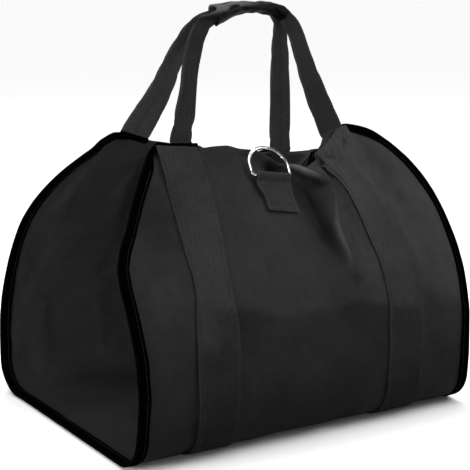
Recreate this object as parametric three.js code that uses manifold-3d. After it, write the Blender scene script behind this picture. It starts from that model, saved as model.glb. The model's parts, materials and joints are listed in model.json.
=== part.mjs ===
// Log carrier bag: a cloth sheet hung as an open-ended sling, with edge tapes, webbing straps,
// two webbing handles held by a padded wrap, and a D-ring in a webbing tab.
// X runs from rim to rim, -Y is the front, +Z is up, and the straps rest on z = 0.
// A place on the flat sheet is (u, g): u across it, g along it from the middle of the bottom.
import * as THREE from "three";
import Module from "manifold-3d";

const wasm = await Module();
wasm.setup();

// Sheet sizes in millimetres
const SHEET_HALF_WIDTH = 225;
const SHEET_HALF_LENGTH = 523;
const TOP_HALF_WIDTH = 154;
const CLOTH = 2;
const GAP = 0.4;
const WEBBING = 1.7;
const STRAP_HALF_WIDTH = 25;
const STRAP_AT = 126;
const SHEET_LIFT = CLOTH / 2 + GAP + WEBBING;
const TAIL_ROOM = WEBBING + 0.8;
const COLUMN_STEP = 1;
const NORMAL_STEP = 1.5;
const EDGE_COLUMNS = [1, 0.8, 0.45];
const MIDDLE_STEPS = 16;

// Outline of a hung half: one row per run, with the angle each side turns through along it
const OUTLINE = [
  { run: 133, front: 0, back: 0 },
  { run: 60, front: 1.4, back: 1.4 },
  { run: 145, front: 0.54, back: 0.48 },
  { run: 128, front: 0.37, back: 0.53 },
  { run: 57, front: 0.08, back: 0 },
];

// How far the top is drawn in across the width, towards the left and towards the right
const GATHER = {
  front: { from: 320, left: 0.14, right: 0.165 },
  back: { from: 235, left: 0.172, right: 0.28 },
};

// Rounded shoulders: where they start along the sheet, and the powers of their curve
const SHOULDER = {
  front: { from: 398, power: 1.66, root: 1.52 },
  back: { from: 363, power: 1.61, root: 1.41 },
};

// Extra inward lean between two places along the sheet, one row per place across it
const LEAN = [
  {
    side: "front",
    from: 466,
    to: 496,
    rows: [
      { u: -80, turn: 0 },
      { u: -40, turn: 0.18 },
      { u: -10, turn: 0.38 },
      { u: 20, turn: 0.5 },
      { u: 50, turn: 0.66 },
      { u: 78, turn: 0.55 },
      { u: 98, turn: 0.1 },
    ],
  },
  {
    side: "back",
    from: 440,
    to: 500,
    rows: [
      { u: -126, turn: 0 },
      { u: -60, turn: 0.3 },
      { u: 0, turn: 0.45 },
      { u: 60, turn: 0.5 },
      { u: 126, turn: 0.3 },
    ],
  },
  {
    side: "back",
    from: 338,
    to: 466,
    rows: [
      { u: -126, turn: 0 },
      { u: 126, turn: 0.22 },
    ],
  },
];

// Folds and dents: a line on the sheet from (u, g) to (u, g), its rise at each end,
// the half width of its level top, and the width of its slope
const FOLDS = [
  { side: "front", u0: 74, g0: 470, rise0: 5, u1: 62, g1: 340, rise1: 3, level: 0, slope: 17 },
  { side: "front", u0: 45, g0: 462, rise0: -5, u1: 40, g1: 350, rise1: -3, level: 0, slope: 18 },
  { side: "front", u0: 87, g0: 505, rise0: -6, u1: 88, g1: 350, rise1: -3, level: 0, slope: 13 },
  { side: "front", u0: 126, g0: 535, rise0: -8, u1: 126, g1: 400, rise1: -4, level: 30, slope: 34 },
  { side: "front", u0: -62, g0: 523, rise0: 6, u1: -60, g1: 460, rise1: 2, level: 0, slope: 34 },
  { side: "front", u0: -180, g0: 330, rise0: 6, u1: -190, g1: 250, rise1: 2, level: 0, slope: 40 },
  { side: "front", u0: 190, g0: 400, rise0: 6, u1: 195, g1: 260, rise1: 3, level: 0, slope: 40 },
  { side: "back", u0: 0, g0: 500, rise0: -5, u1: 10, g1: 380, rise1: -3, level: 0, slope: 30 },
  { side: "back", u0: -60, g0: 470, rise0: 5, u1: -50, g1: 330, rise1: 3, level: 0, slope: 30 },
  { side: "back", u0: 60, g0: 470, rise0: 5, u1: 55, g1: 330, rise1: 3, level: 0, slope: 30 },
];

const SIDE_SIGN = { front: -1, back: 1 };

function smooth(t) {
  const c = Math.min(1, Math.max(0, t));
  return c * c * (3 - 2 * c);
}

// Value of a column of a table at u, straight between its rows and level past its ends
function rowValue(rows, u, key) {
  if (u <= rows[0].u) return rows[0][key];
  for (let i = 1; i < rows.length; i++) {
    const a = rows[i - 1];
    const b = rows[i];
    if (u <= b.u) return a[key] + ((b[key] - a[key]) * (u - a.u)) / (b.u - a.u);
  }
  return rows[rows.length - 1][key];
}

function headingAt(u, g, side) {
  let angle = 0;
  let start = 0;
  for (const row of OUTLINE) {
    angle += row[side] * Math.min(1, Math.max(0, (g - start) / row.run));
    start += row.run;
  }
  for (const lean of LEAN) {
    if (lean.side !== side) continue;
    angle += rowValue(lean.rows, u, "turn") * smooth((g - lean.from) / (lean.to - lean.from));
  }
  return angle;
}

// Depth and height along one line of the sheet, stepped by its heading
const columnStore = new Map();
function columnAt(u, side) {
  const key = side + u.toFixed(3);
  if (columnStore.has(key)) return columnStore.get(key);
  const out = [0];
  const up = [0];
  for (let g = COLUMN_STEP / 2; g < SHEET_HALF_LENGTH; g += COLUMN_STEP) {
    const angle = headingAt(u, g, side);
    out.push(out[out.length - 1] + COLUMN_STEP * Math.cos(angle));
    up.push(up[up.length - 1] + COLUMN_STEP * Math.sin(angle));
  }
  const column = { out, up };
  columnStore.set(key, column);
  return column;
}

function stepped(list, g) {
  const at = Math.min(list.length - 1.0001, Math.max(0, g / COLUMN_STEP));
  const i = Math.floor(at);
  return list[i] + (list[i + 1] - list[i]) * (at - i);
}

function gatherAt(u, g, side) {
  const row = GATHER[side];
  const amount = u < 0 ? row.left : row.right;
  return 1 - amount * smooth((g - row.from) / (SHEET_HALF_LENGTH - row.from));
}

function restPoint(u, g, side) {
  const column = columnAt(u, side);
  const x = u * gatherAt(u, g, side);
  const y = SIDE_SIGN[side] * stepped(column.out, g);
  return new THREE.Vector3(x, y, stepped(column.up, g) + SHEET_LIFT);
}

// Height of the folds over the smooth sheet
function foldRise(u, g, side) {
  let rise = 0;
  for (const fold of FOLDS) {
    if (fold.side !== side) continue;
    const du = fold.u1 - fold.u0;
    const dg = fold.g1 - fold.g0;
    const along = ((u - fold.u0) * du + (g - fold.g0) * dg) / (du * du + dg * dg);
    const t = Math.min(1, Math.max(0, along));
    const off = Math.hypot(u - fold.u0 - t * du, g - fold.g0 - t * dg);
    const away = Math.max(0, off - fold.level) / fold.slope;
    if (away >= 1) continue;
    rise += (fold.rise0 + (fold.rise1 - fold.rise0) * t) * (0.5 + 0.5 * Math.cos(Math.PI * away));
  }
  return rise;
}

function faceNormal(place, u, g, side) {
  const d = NORMAL_STEP;
  const low = Math.min(g, SHEET_HALF_LENGTH - d);
  const across = place(u + d, g, side).sub(place(u - d, g, side));
  const along = place(u, low + d, side).sub(place(u, Math.max(0, low - d), side));
  return across.cross(along).multiplyScalar(-SIDE_SIGN[side]).normalize();
}

function sheetPoint(u, g, side) {
  const p = restPoint(u, g, side);
  const rise = foldRise(u, g, side);
  return rise === 0 ? p : p.addScaledVector(faceNormal(restPoint, u, g, side), rise);
}

// Point at a height over the middle of the cloth
function overSheet(u, g, side, height) {
  return sheetPoint(u, g, side).addScaledVector(faceNormal(sheetPoint, u, g, side), height);
}

function halfWidthAt(g, side) {
  const row = SHOULDER[side];
  const t = Math.min(1, Math.max(0, (g - row.from) / (SHEET_HALF_LENGTH - row.from)));
  const reach = Math.max(0, 1 - t ** row.power) ** (1 / row.root);
  return TOP_HALF_WIDTH + (SHEET_HALF_WIDTH - TOP_HALF_WIDTH) * reach;
}

// Places along the sheet where rows of facets lie, from one top edge to the other
const HALF_ROWS = [
  { to: 133, steps: 2 },
  { to: 193, steps: 6 },
  { to: 338, steps: 4 },
  { to: 466, steps: 7 },
  { to: 502, steps: 4 },
  { to: 519, steps: 2 },
  { to: 523, steps: 1 },
];

function girthRows() {
  const half = [0];
  for (const row of HALF_ROWS) {
    const from = half[half.length - 1];
    for (let i = 1; i <= row.steps; i++) half.push(from + ((row.to - from) * i) / row.steps);
  }
  const front = half.slice(1).reverse().map((g) => ({ g, side: "front" }));
  const back = half.map((g) => ({ g, side: "back" }));
  return [...front, ...back];
}

// Closed solid between an outer and an inner grid of points, both [row][column]
function shellGeometry(outer, inner) {
  const rows = outer.length;
  const columns = outer[0].length;
  const positions = [];
  for (const grid of [outer, inner]) {
    for (const row of grid) for (const p of row) positions.push(p.x, p.y, p.z);
  }
  const at = (layer, i, j) => layer * rows * columns + i * columns + j;
  const index = [];
  const quad = (a, b, c, d) => index.push(a, c, b, a, d, c);
  for (let i = 0; i + 1 < rows; i++) {
    for (let j = 0; j + 1 < columns; j++) {
      quad(at(0, i, j), at(0, i, j + 1), at(0, i + 1, j + 1), at(0, i + 1, j));
      quad(at(1, i, j), at(1, i + 1, j), at(1, i + 1, j + 1), at(1, i, j + 1));
    }
    quad(at(0, i, 0), at(0, i + 1, 0), at(1, i + 1, 0), at(1, i, 0));
    const end = columns - 1;
    quad(at(0, i, end), at(1, i, end), at(1, i + 1, end), at(0, i + 1, end));
  }
  for (let j = 0; j + 1 < columns; j++) {
    quad(at(0, 0, j), at(1, 0, j), at(1, 0, j + 1), at(0, 0, j + 1));
    quad(at(0, rows - 1, j), at(0, rows - 1, j + 1), at(1, rows - 1, j + 1), at(1, rows - 1, j));
  }
  const geometry = new THREE.BufferGeometry();
  geometry.setAttribute("position", new THREE.Float32BufferAttribute(positions, 3));
  geometry.setIndex(index);
  return geometry;
}

// Closed tube through rings of points, with its ends capped, or joined to each other
function ringsGeometry(rings, joined) {
  const count = rings[0].length;
  const positions = [];
  for (const ring of rings) for (const p of ring) positions.push(p.x, p.y, p.z);
  const index = [];
  const last = joined ? rings.length : rings.length - 1;
  for (let i = 0; i < last; i++) {
    const a = i * count;
    const b = ((i + 1) % rings.length) * count;
    for (let j = 0; j < count; j++) {
      const k = (j + 1) % count;
      index.push(a + j, a + k, b + k, a + j, b + k, b + j);
    }
  }
  const geometry = new THREE.BufferGeometry();
  geometry.setAttribute("position", new THREE.Float32BufferAttribute(positions, 3));
  geometry.setIndex(index);
  return geometry;
}

function addCaps(geometry, count, rings, triangles) {
  const index = Array.from(geometry.index.array);
  const end = (rings - 1) * count;
  for (const [a, b, c] of triangles) {
    index.push(a, c, b);
    index.push(end + a, end + b, end + c);
  }
  geometry.setIndex(index);
  return geometry;
}

// Sheet
function panelColumns(row) {
  const w = halfWidthAt(row.g, row.side);
  const inner = STRAP_AT - STRAP_HALF_WIDTH;
  const outer = STRAP_AT + STRAP_HALF_WIDTH;
  const half = [];
  for (const f of EDGE_COLUMNS) half.push(outer + (w - outer) * f);
  half.push(outer, STRAP_AT, inner);
  const middle = [];
  for (let i = 1; i < MIDDLE_STEPS; i++) middle.push(-inner + (2 * inner * i) / MIDDLE_STEPS);
  return [...half.map((u) => -u), ...middle, ...half.reverse()];
}

function buildPanel() {
  const rows = girthRows();
  const grid = (height) =>
    rows.map((row) => panelColumns(row).map((u) => overSheet(u, row.g, row.side, height)));
  return shellGeometry(grid(CLOTH / 2), grid(-CLOTH / 2));
}

// Straps: they rise near the top to leave room for the tails of the handles
const STRAP_END = 519;
const TAIL_FROM = 486;
const TAIL_RAMP = { from: TAIL_FROM - 22, run: 18 };
function strapHeight(g) {
  return CLOTH / 2 + GAP + TAIL_ROOM * smooth((g - TAIL_RAMP.from) / TAIL_RAMP.run);
}

function buildStrap(sign) {
  const rows = girthRows().filter((row) => row.g <= STRAP_END);
  const columns = [-1, 0, 1].map((k) => sign * STRAP_AT + k * STRAP_HALF_WIDTH);
  const grid = (extra) =>
    rows.map((row) => columns.map((u) => overSheet(u, row.g, row.side, strapHeight(row.g) + extra)));
  return shellGeometry(grid(WEBBING), grid(0));
}

// Edge tapes
const TAPE = 1.1;
const TAPE_WIDTH = 10;
const TAPE_GAP = 0.9;
const LEFT_TAPE_END = 99;
const RIGHT_TAPE_END = 519;
const TAPE_STEP = 11;
const OVER_STRAP = { from: 494, run: 16 };

// Rim of one half on the flat sheet, from the middle of the bottom to the top edge and along it
function rimPath(side, topEnd) {
  const path = [];
  for (const row of girthRows()) {
    if (row.side !== side || row.g >= SHEET_HALF_LENGTH) continue;
    path.push({ u: halfWidthAt(row.g, side), g: row.g });
  }
  path.sort((a, b) => a.g - b.g);
  if (topEnd === undefined) return path.filter((p) => p.g <= RIGHT_TAPE_END);
  for (let u = TOP_HALF_WIDTH; u > topEnd + 1; u -= TAPE_STEP) path.push({ u, g: SHEET_HALF_LENGTH });
  return path;
}

// Unit direction into the sheet at each place of a rim path, long enough to mitre its corner
function inwards(path, i) {
  const before = path[Math.max(0, i - 1)];
  const here = path[i];
  const after = path[Math.min(path.length - 1, i + 1)];
  const first = new THREE.Vector2(here.u - before.u, here.g - before.g);
  const second = new THREE.Vector2(after.u - here.u, after.g - here.g);
  if (first.length() === 0) first.copy(second);
  if (second.length() === 0) second.copy(first);
  first.normalize();
  second.normalize();
  const mean = first.clone().add(second).normalize();
  return new THREE.Vector2(-mean.y, mean.x).multiplyScalar(1 / Math.max(0.6, mean.dot(first)));
}

function tapeSection(path, i, side, sign) {
  const here = path[i];
  const into = inwards(path, i);
  const overStrap = sign < 0 ? smooth((here.g - OVER_STRAP.from) / OVER_STRAP.run) : 0;
  const outerGap = TAPE_GAP + overStrap * (WEBBING + 2 * GAP + TAIL_ROOM);
  const inside = { u: here.u + into.x * TAPE_WIDTH, g: Math.max(0, here.g + into.y * TAPE_WIDTH) };
  const rim = sheetPoint(sign * here.u, here.g, side);
  const rimNormal = faceNormal(sheetPoint, sign * here.u, here.g, side);
  const flange = sheetPoint(sign * inside.u, inside.g, side);
  const flangeNormal = faceNormal(sheetPoint, sign * inside.u, inside.g, side);
  const beyond = rim.clone().sub(flange).normalize();
  const edge = (reach, height) =>
    rim.clone().addScaledVector(beyond, reach).addScaledVector(rimNormal, height);
  const face = (height) => flange.clone().addScaledVector(flangeNormal, height);
  const out = CLOTH / 2 + outerGap;
  const back = -CLOTH / 2 - TAPE_GAP;
  return [
    face(out + TAPE),
    edge(TAPE_GAP + TAPE, out + TAPE),
    edge(TAPE_GAP + TAPE, back - TAPE),
    face(back - TAPE),
    face(back),
    edge(TAPE_GAP, back),
    edge(TAPE_GAP, out),
    face(out),
  ];
}

function solidOf(geometry) {
  return new wasm.Manifold(
    new wasm.Mesh({
      numProp: 3,
      vertProperties: new Float32Array(geometry.attributes.position.array),
      triVerts: new Uint32Array(geometry.index.array),
    }),
  );
}

// The first geometry with the others cut away
function cutAway(geometry, cutters) {
  let solid = solidOf(geometry);
  for (const cutter of cutters) solid = solid.subtract(solidOf(cutter));
  const mesh = solid.getMesh();
  const out = new THREE.BufferGeometry();
  out.setAttribute("position", new THREE.Float32BufferAttribute(mesh.vertProperties, 3));
  out.setIndex(Array.from(mesh.triVerts));
  return out;
}

function buildTape(sign, topEnd) {
  const frontPath = rimPath("front", topEnd);
  const backPath = rimPath("back", topEnd);
  const front = frontPath.map((p, i) => tapeSection(frontPath, i, "front", sign)).reverse();
  const back = backPath.map((p, i) => tapeSection(backPath, i, "back", sign));
  const rings = [...front, ...back.slice(1)];
  const ordered = sign < 0 ? rings : rings.map((ring) => ring.slice().reverse());
  const caps = [
    [0, 1, 6],
    [0, 6, 7],
    [1, 2, 5],
    [1, 5, 6],
    [2, 3, 4],
    [2, 4, 5],
  ];
  const turned = caps.map((c) => (sign < 0 ? c : c.map((k) => 7 - k).reverse()));
  return addCaps(ringsGeometry(ordered, false), 8, ordered.length, turned);
}

// Handles: places of each loop from its left foot to its right foot, with width and thickness
const HANDLE_FOOT_WIDTH = 36;
const TAIL_PLACES = [
  { g: TAIL_FROM + 4, lift: 0 },
  { g: TAIL_FROM + 20, lift: 0 },
  { g: SHEET_HALF_LENGTH - 3, lift: 0 },
  { g: SHEET_HALF_LENGTH, lift: 0.3 },
];
const FOOT_RISE = 9;
const RISE_WAY = { inward: 0.35, up: 0.94 };
const HANDLE = {
  front: {
    feet: { left: -123, right: 126 },
    rows: [
      { x: -80.8, y: -33, z: 382.4, width: 27, thick: 2 },
      { x: -69.6, y: -23, z: 409.1, width: 24, thick: 2.2 },
      { x: -58.9, y: -14, z: 432.7, width: 22, thick: 2.6 },
      { x: -45, y: -7.5, z: 452, width: 13.5, thick: 3 },
      { x: -28, y: -4, z: 462.6, width: 8.5, thick: 3.2 },
      { x: 3, y: -3, z: 470.2, width: 8, thick: 3.2 },
      { x: 21, y: -3, z: 471.5, width: 7.5, thick: 3.2 },
      { x: 42, y: -3, z: 469.8, width: 8, thick: 3.2 },
      { x: 63, y: -4, z: 462.8, width: 8.5, thick: 3.2 },
      { x: 75.6, y: -7, z: 450.8, width: 11, thick: 3 },
      { x: 84.2, y: -13.5, z: 435, width: 18, thick: 2.6 },
      { x: 88.9, y: -22, z: 411.3, width: 22, thick: 2.2 },
      { x: 94.2, y: -33, z: 382.3, width: 26, thick: 2 },
    ],
  },
  back: {
    feet: { left: -126, right: 123 },
    rows: [
      { x: -82.8, y: 28, z: 379.3, width: 29, thick: 2 },
      { x: -70.8, y: 16, z: 413.6, width: 22, thick: 2.2 },
      { x: -62, y: 10, z: 433, width: 20, thick: 2.6 },
      { x: -47, y: 6, z: 452, width: 13.5, thick: 3 },
      { x: -29, y: 3.5, z: 462.6, width: 8.3, thick: 3.2 },
      { x: 3, y: 3, z: 470.2, width: 8, thick: 3.2 },
      { x: 21, y: 3, z: 471.5, width: 7.5, thick: 3.2 },
      { x: 42, y: 3, z: 469.7, width: 8, thick: 3.2 },
      { x: 59.5, y: 3.5, z: 464, width: 8, thick: 3.2 },
      { x: 70.5, y: 5, z: 452.5, width: 11, thick: 3 },
      { x: 73.5, y: 8.5, z: 432, width: 18, thick: 2.6 },
      { x: 75, y: 11, z: 406.9, width: 21, thick: 2.2 },
      { x: 77.5, y: 14.5, z: 369.9, width: 24, thick: 2 },
    ],
  },
};

// One loop as three lines of points, left edge, middle and right edge, each with the way it faces
function handleStations(side, room) {
  const loop = HANDLE[side];
  const height = CLOTH / 2 + GAP + WEBBING / 2;
  const stations = [];
  const foot = (u, turn, places) => {
    for (const { g, lift } of places) {
      const lines = [-1, 0, 1].map((k) => {
        const at = u + (turn * k * (HANDLE_FOOT_WIDTH + room)) / 2;
        return { at: overSheet(at, g, side, height + lift), face: faceNormal(sheetPoint, at, g, side) };
      });
      stations.push({ lines, thick: WEBBING + room });
    }
  };
  const turn = -SIDE_SIGN[side];
  const tail = TAIL_PLACES;
  const rise = (lines) =>
    lines.map((line) => {
      const up = new THREE.Vector3(0, -RISE_WAY.inward * SIDE_SIGN[side], RISE_WAY.up);
      return { at: line.at.clone().addScaledVector(up, FOOT_RISE), face: line.face };
    });
  foot(loop.feet.left, turn, tail);
  stations.push({ lines: rise(stations[stations.length - 1].lines), thick: WEBBING + room });
  const middle = loop.rows.map((row) => new THREE.Vector3(row.x, row.y, row.z));
  loop.rows.forEach((row, i) => {
    const way = middle[Math.min(middle.length - 1, i + 1)].clone().sub(middle[Math.max(0, i - 1)]);
    const face = new THREE.Vector3(0, SIDE_SIGN[side], 0);
    const across = way.cross(face).normalize();
    const lines = [-1, 0, 1].map((k) => {
      const at = middle[i].clone().addScaledVector(across, (k * (row.width + room)) / 2);
      return { at, face };
    });
    stations.push({ lines, thick: row.thick + room });
  });
  const landing = stations.length;
  foot(loop.feet.right, -turn, tail.slice().reverse());
  stations.splice(landing, 0, { lines: rise(stations[landing].lines), thick: WEBBING + room });
  return stations;
}

function buildHandle(side, room = 0) {
  const stations = handleStations(side, room);
  const lines = [0, 1, 2].map((k) => stations.map((s) => s.lines[k].at));
  const curves = lines.map((line) => new THREE.CatmullRomCurve3(line, false, "centripetal"));
  const fine = 3;
  const spans = stations.length - 1;
  const rings = [];
  for (let i = 0; i <= spans * fine; i++) {
    const span = Math.min(spans - 1, Math.floor(i / fine));
    const t = i / fine - span;
    const a = stations[span];
    const b = stations[span + 1];
    const halfThick = (a.thick + (b.thick - a.thick) * t) / 2;
    const over = [];
    const under = [];
    curves.forEach((curve, k) => {
      const p = curve.getPoint(i / (spans * fine));
      const face = a.lines[k].face.clone().lerp(b.lines[k].face, smooth(t)).normalize();
      over.push(p.clone().addScaledVector(face, halfThick));
      under.push(p.clone().addScaledVector(face, -halfThick));
    });
    rings.push([...over, ...under.reverse()]);
  }
  const caps = [
    [0, 1, 4],
    [0, 4, 5],
    [1, 2, 3],
    [1, 3, 4],
  ];
  return addCaps(ringsGeometry(rings, false), 6, rings.length, caps);
}

// Grip wrap: sections along its arch, with half heights over and under the middle line
const WRAP_WALL = 2.2;
const WRAP_POINTS = 18;
const WRAP_ROUND = 0.85;
const WRAP = [
  { x: -35, z: 459.6, over: 10.8, under: 10.1, depth: 13 },
  { x: -25, z: 464, over: 10, under: 9.6, depth: 13 },
  { x: -10, z: 468, over: 8.6, under: 8.2, depth: 12.5 },
  { x: 6, z: 470.4, over: 7.4, under: 7, depth: 12 },
  { x: 21, z: 471.5, over: 6.8, under: 6.8, depth: 12 },
  { x: 38, z: 470.2, over: 7.2, under: 7, depth: 12 },
  { x: 53, z: 466.2, over: 8.8, under: 8, depth: 12 },
  { x: 63.5, z: 460.4, over: 10.4, under: 9.4, depth: 12.5 },
  { x: 70, z: 454.6, over: 11.4, under: 10.8, depth: 13.2 },
];

function wrapRing(i, wall) {
  const row = WRAP[i];
  const before = WRAP[Math.max(0, i - 1)];
  const after = WRAP[Math.min(WRAP.length - 1, i + 1)];
  const way = new THREE.Vector3(after.x - before.x, 0, after.z - before.z).normalize();
  const up = new THREE.Vector3(-way.z, 0, way.x);
  const ring = [];
  for (let k = 0; k < WRAP_POINTS; k++) {
    const angle = (2 * Math.PI * k) / WRAP_POINTS;
    const c = Math.cos(angle);
    const s = Math.sin(angle);
    const round = (v) => Math.sign(v) * Math.abs(v) ** WRAP_ROUND;
    const rise = (s > 0 ? row.over : row.under) - wall;
    const p = new THREE.Vector3(row.x, round(c) * (row.depth - wall), row.z);
    ring.push(p.addScaledVector(up, round(s) * rise));
  }
  return ring;
}

function buildWrap() {
  const outer = WRAP.map((row, i) => wrapRing(i, 0));
  const inner = WRAP.map((row, i) => wrapRing(i, WRAP_WALL)).reverse();
  return ringsGeometry([...outer, ...inner], true);
}

// D-ring in its tab, which is sewn on a slant
const TAB = { u: -9.5, halfWidth: 21, bottom: 421.5, top: 462.5, slant: -0.18 };
const TAB_STRAIGHT = { from: 438, run: 14 };
const TAB_PLY_GAP = 0.2;
const LOOP_NECK = 2;
const LOOP_ARC = { from: -0.62, span: 1.42 };
const RING_WIRE = 2.2;
const RING_HALF_WIDTH = 24.5;
const RING_CORNER = 4.5;
const RING_LEG = 9;
const RING_CLEARANCE = 0.6;
const RING_LEAN = -0.08;
const LOOP_INNER = RING_WIRE + RING_CLEARANCE;
const LOOP_OUTER = LOOP_INNER + WEBBING;
const BAR_HEIGHT = CLOTH / 2 + 2 * GAP + LOOP_OUTER;

// Bar of the ring: its middle, the way it runs, and the sheet's up and outward ways there
function barFrame() {
  const at = overSheet(TAB.u, TAB.top, "front", BAR_HEIGHT);
  const out = faceNormal(sheetPoint, TAB.u, TAB.top, "front");
  const along = new THREE.Vector3(1, 0, 0);
  along.addScaledVector(out, -along.dot(out)).normalize().applyAxisAngle(out, TAB.slant);
  return { at, out, along, up: out.clone().cross(along) };
}

function aroundBar(radius, angle) {
  return new THREE.Vector2(TAB.top + radius * Math.cos(angle), BAR_HEIGHT + radius * Math.sin(angle));
}

// Outline of the folded tab, as places along the sheet and heights over it
function tabOutline() {
  const low = CLOTH / 2 + 2 * GAP;
  const high = low + 2 * WEBBING + TAB_PLY_GAP;
  const neck = TAB.top - LOOP_OUTER - LOOP_NECK;
  const body = [0, 0.35, 0.7, 1].map((f) => TAB.bottom + (neck - TAB.bottom) * f);
  const outline = body.map((g) => new THREE.Vector2(g, low));
  const turns = 12;
  for (let i = 0; i <= turns; i++) {
    const angle = Math.PI * (LOOP_ARC.from + (LOOP_ARC.span * i) / turns);
    outline.push(aroundBar(LOOP_OUTER, angle));
  }
  return [...outline, ...body.reverse().map((g) => new THREE.Vector2(g, high))];
}

function tabHole() {
  const turns = 12;
  const hole = [];
  for (let i = 0; i < turns; i++) {
    const angle = (-2 * Math.PI * i) / turns;
    hole.push(aroundBar(LOOP_INNER, angle));
  }
  return hole;
}

function buildTab() {
  const frame = barFrame();
  const outline = tabOutline();
  const hole = tabHole();
  const all = [...outline, ...hole];
  const columns = [-1, -0.5, 0, 0.5, 1].map((f) => f * TAB.halfWidth);
  const positions = [];
  for (const du of columns) {
    for (const q of all) {
      const g = Math.min(q.x, TAB.top) + du * Math.sin(TAB.slant);
      const laid = overSheet(TAB.u + du * Math.cos(TAB.slant), g, "front", q.y);
      const rigid = frame.at.clone().addScaledVector(frame.along, du);
      rigid.addScaledVector(frame.up, q.x - TAB.top).addScaledVector(frame.out, q.y - BAR_HEIGHT);
      const p = laid.lerp(rigid, smooth((q.x - TAB_STRAIGHT.from) / TAB_STRAIGHT.run));
      positions.push(p.x, p.y, p.z);
    }
  }
  const index = [];
  const count = all.length;
  const ways = outline.map((q, j) => [j, (j + 1) % outline.length]);
  hole.forEach((q, j) => ways.push([outline.length + j, outline.length + ((j + 1) % hole.length)]));
  for (let i = 0; i + 1 < columns.length; i++) {
    const a = i * count;
    const b = a + count;
    for (const [j, k] of ways) index.push(a + j, a + k, b + k, a + j, b + k, b + j);
  }
  const end = (columns.length - 1) * count;
  for (const [a, b, c] of THREE.ShapeUtils.triangulateShape(outline, [hole])) {
    index.push(a, c, b);
    index.push(end + a, end + b, end + c);
  }
  const geometry = new THREE.BufferGeometry();
  geometry.setAttribute("position", new THREE.Float32BufferAttribute(positions, 3));
  geometry.setIndex(index);
  return geometry;
}

// Middle line of the ring in its own plane, bar at the bottom
function ringLine() {
  const line = [];
  const flat = RING_HALF_WIDTH - RING_CORNER;
  const turn = (x, y, radius, angle) => {
    line.push(new THREE.Vector2(x + radius * Math.cos(angle), y + radius * Math.sin(angle)));
  };
  for (const f of [-0.5, 0, 0.5]) line.push(new THREE.Vector2(flat * f, 0));
  const corner = 5;
  for (let i = 0; i <= corner; i++) {
    turn(flat, RING_CORNER, RING_CORNER, (Math.PI / 2) * (i / corner - 1));
  }
  const arc = 16;
  for (let i = 0; i <= arc; i++) turn(0, RING_CORNER + RING_LEG, RING_HALF_WIDTH, (Math.PI * i) / arc);
  for (let i = 0; i <= corner; i++) {
    turn(-flat, RING_CORNER, RING_CORNER, Math.PI + (Math.PI / 2) * (i / corner));
  }
  return line;
}

function buildRing() {
  const frame = barFrame();
  const up = frame.up.clone().applyAxisAngle(frame.along, -RING_LEAN);
  const out = frame.along.clone().cross(up);
  const line = ringLine();
  const sides = 8;
  const rings = line.map((q, i) => {
    const before = line[(i + line.length - 1) % line.length];
    const after = line[(i + 1) % line.length];
    const way = after.clone().sub(before).normalize();
    const side = new THREE.Vector2(way.y, -way.x);
    const middle = frame.at.clone().addScaledVector(frame.along, q.x).addScaledVector(up, q.y);
    const ring = [];
    for (let k = 0; k < sides; k++) {
      const angle = (2 * Math.PI * k) / sides;
      const reach = RING_WIRE * Math.cos(angle);
      const p = middle.clone().addScaledVector(frame.along, side.x * reach);
      p.addScaledVector(up, side.y * reach);
      ring.push(p.addScaledVector(out, -RING_WIRE * Math.sin(angle)));
    }
    return ring;
  });
  return ringsGeometry(rings, true);
}

// Pieces
const COLOUR = {
  cloth: "#26282a",
  tape: "#08080a",
  webbing: "#2b2d2e",
  wrap: "#1c1d1f",
  metal: "#d9d8d2",
};

function piece(name, geometry, colour, roughness, metalness) {
  const material = new THREE.MeshStandardMaterial({ color: colour, roughness, metalness });
  const mesh = new THREE.Mesh(geometry, material);
  mesh.name = name;
  return mesh;
}

const bag = new THREE.Group();
bag.add(piece("panel", buildPanel(), COLOUR.cloth, 0.8, 0));
const legs = ["front", "back"].map((side) => buildHandle(side, 2 * GAP));
bag.add(piece("binding_left", cutAway(buildTape(-1, LEFT_TAPE_END), legs), COLOUR.tape, 0.7, 0));
bag.add(piece("binding_right", buildTape(1), COLOUR.tape, 0.7, 0));
bag.add(piece("strap_left", buildStrap(-1), COLOUR.webbing, 0.8, 0));
bag.add(piece("strap_right", buildStrap(1), COLOUR.webbing, 0.8, 0));
bag.add(piece("handle_front", buildHandle("front"), COLOUR.webbing, 0.8, 0));
bag.add(piece("handle_back", buildHandle("back"), COLOUR.webbing, 0.8, 0));
bag.add(piece("grip_wrap", buildWrap(), COLOUR.wrap, 0.5, 0));
bag.add(piece("d_ring_tab", buildTab(), COLOUR.webbing, 0.8, 0));
bag.add(piece("d_ring", buildRing(), COLOUR.metal, 0.25, 1));

export default bag;
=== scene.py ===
import json
import math
from contextlib import contextmanager

import bpy
import numpy as np
from mathutils import Matrix, Vector


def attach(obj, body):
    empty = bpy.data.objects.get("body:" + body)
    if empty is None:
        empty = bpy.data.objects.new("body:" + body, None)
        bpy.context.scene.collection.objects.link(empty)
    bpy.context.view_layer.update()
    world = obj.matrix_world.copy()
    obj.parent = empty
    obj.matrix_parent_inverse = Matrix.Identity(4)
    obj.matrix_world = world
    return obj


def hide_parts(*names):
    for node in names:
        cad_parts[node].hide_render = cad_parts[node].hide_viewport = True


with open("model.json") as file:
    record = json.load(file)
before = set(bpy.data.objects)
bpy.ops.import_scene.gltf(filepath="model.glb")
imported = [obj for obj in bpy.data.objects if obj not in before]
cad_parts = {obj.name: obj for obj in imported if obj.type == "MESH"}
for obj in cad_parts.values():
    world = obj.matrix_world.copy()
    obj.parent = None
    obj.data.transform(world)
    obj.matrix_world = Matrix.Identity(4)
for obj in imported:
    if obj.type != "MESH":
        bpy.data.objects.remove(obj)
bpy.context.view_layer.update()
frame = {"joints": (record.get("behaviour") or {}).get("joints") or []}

MM = 0.001

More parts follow.
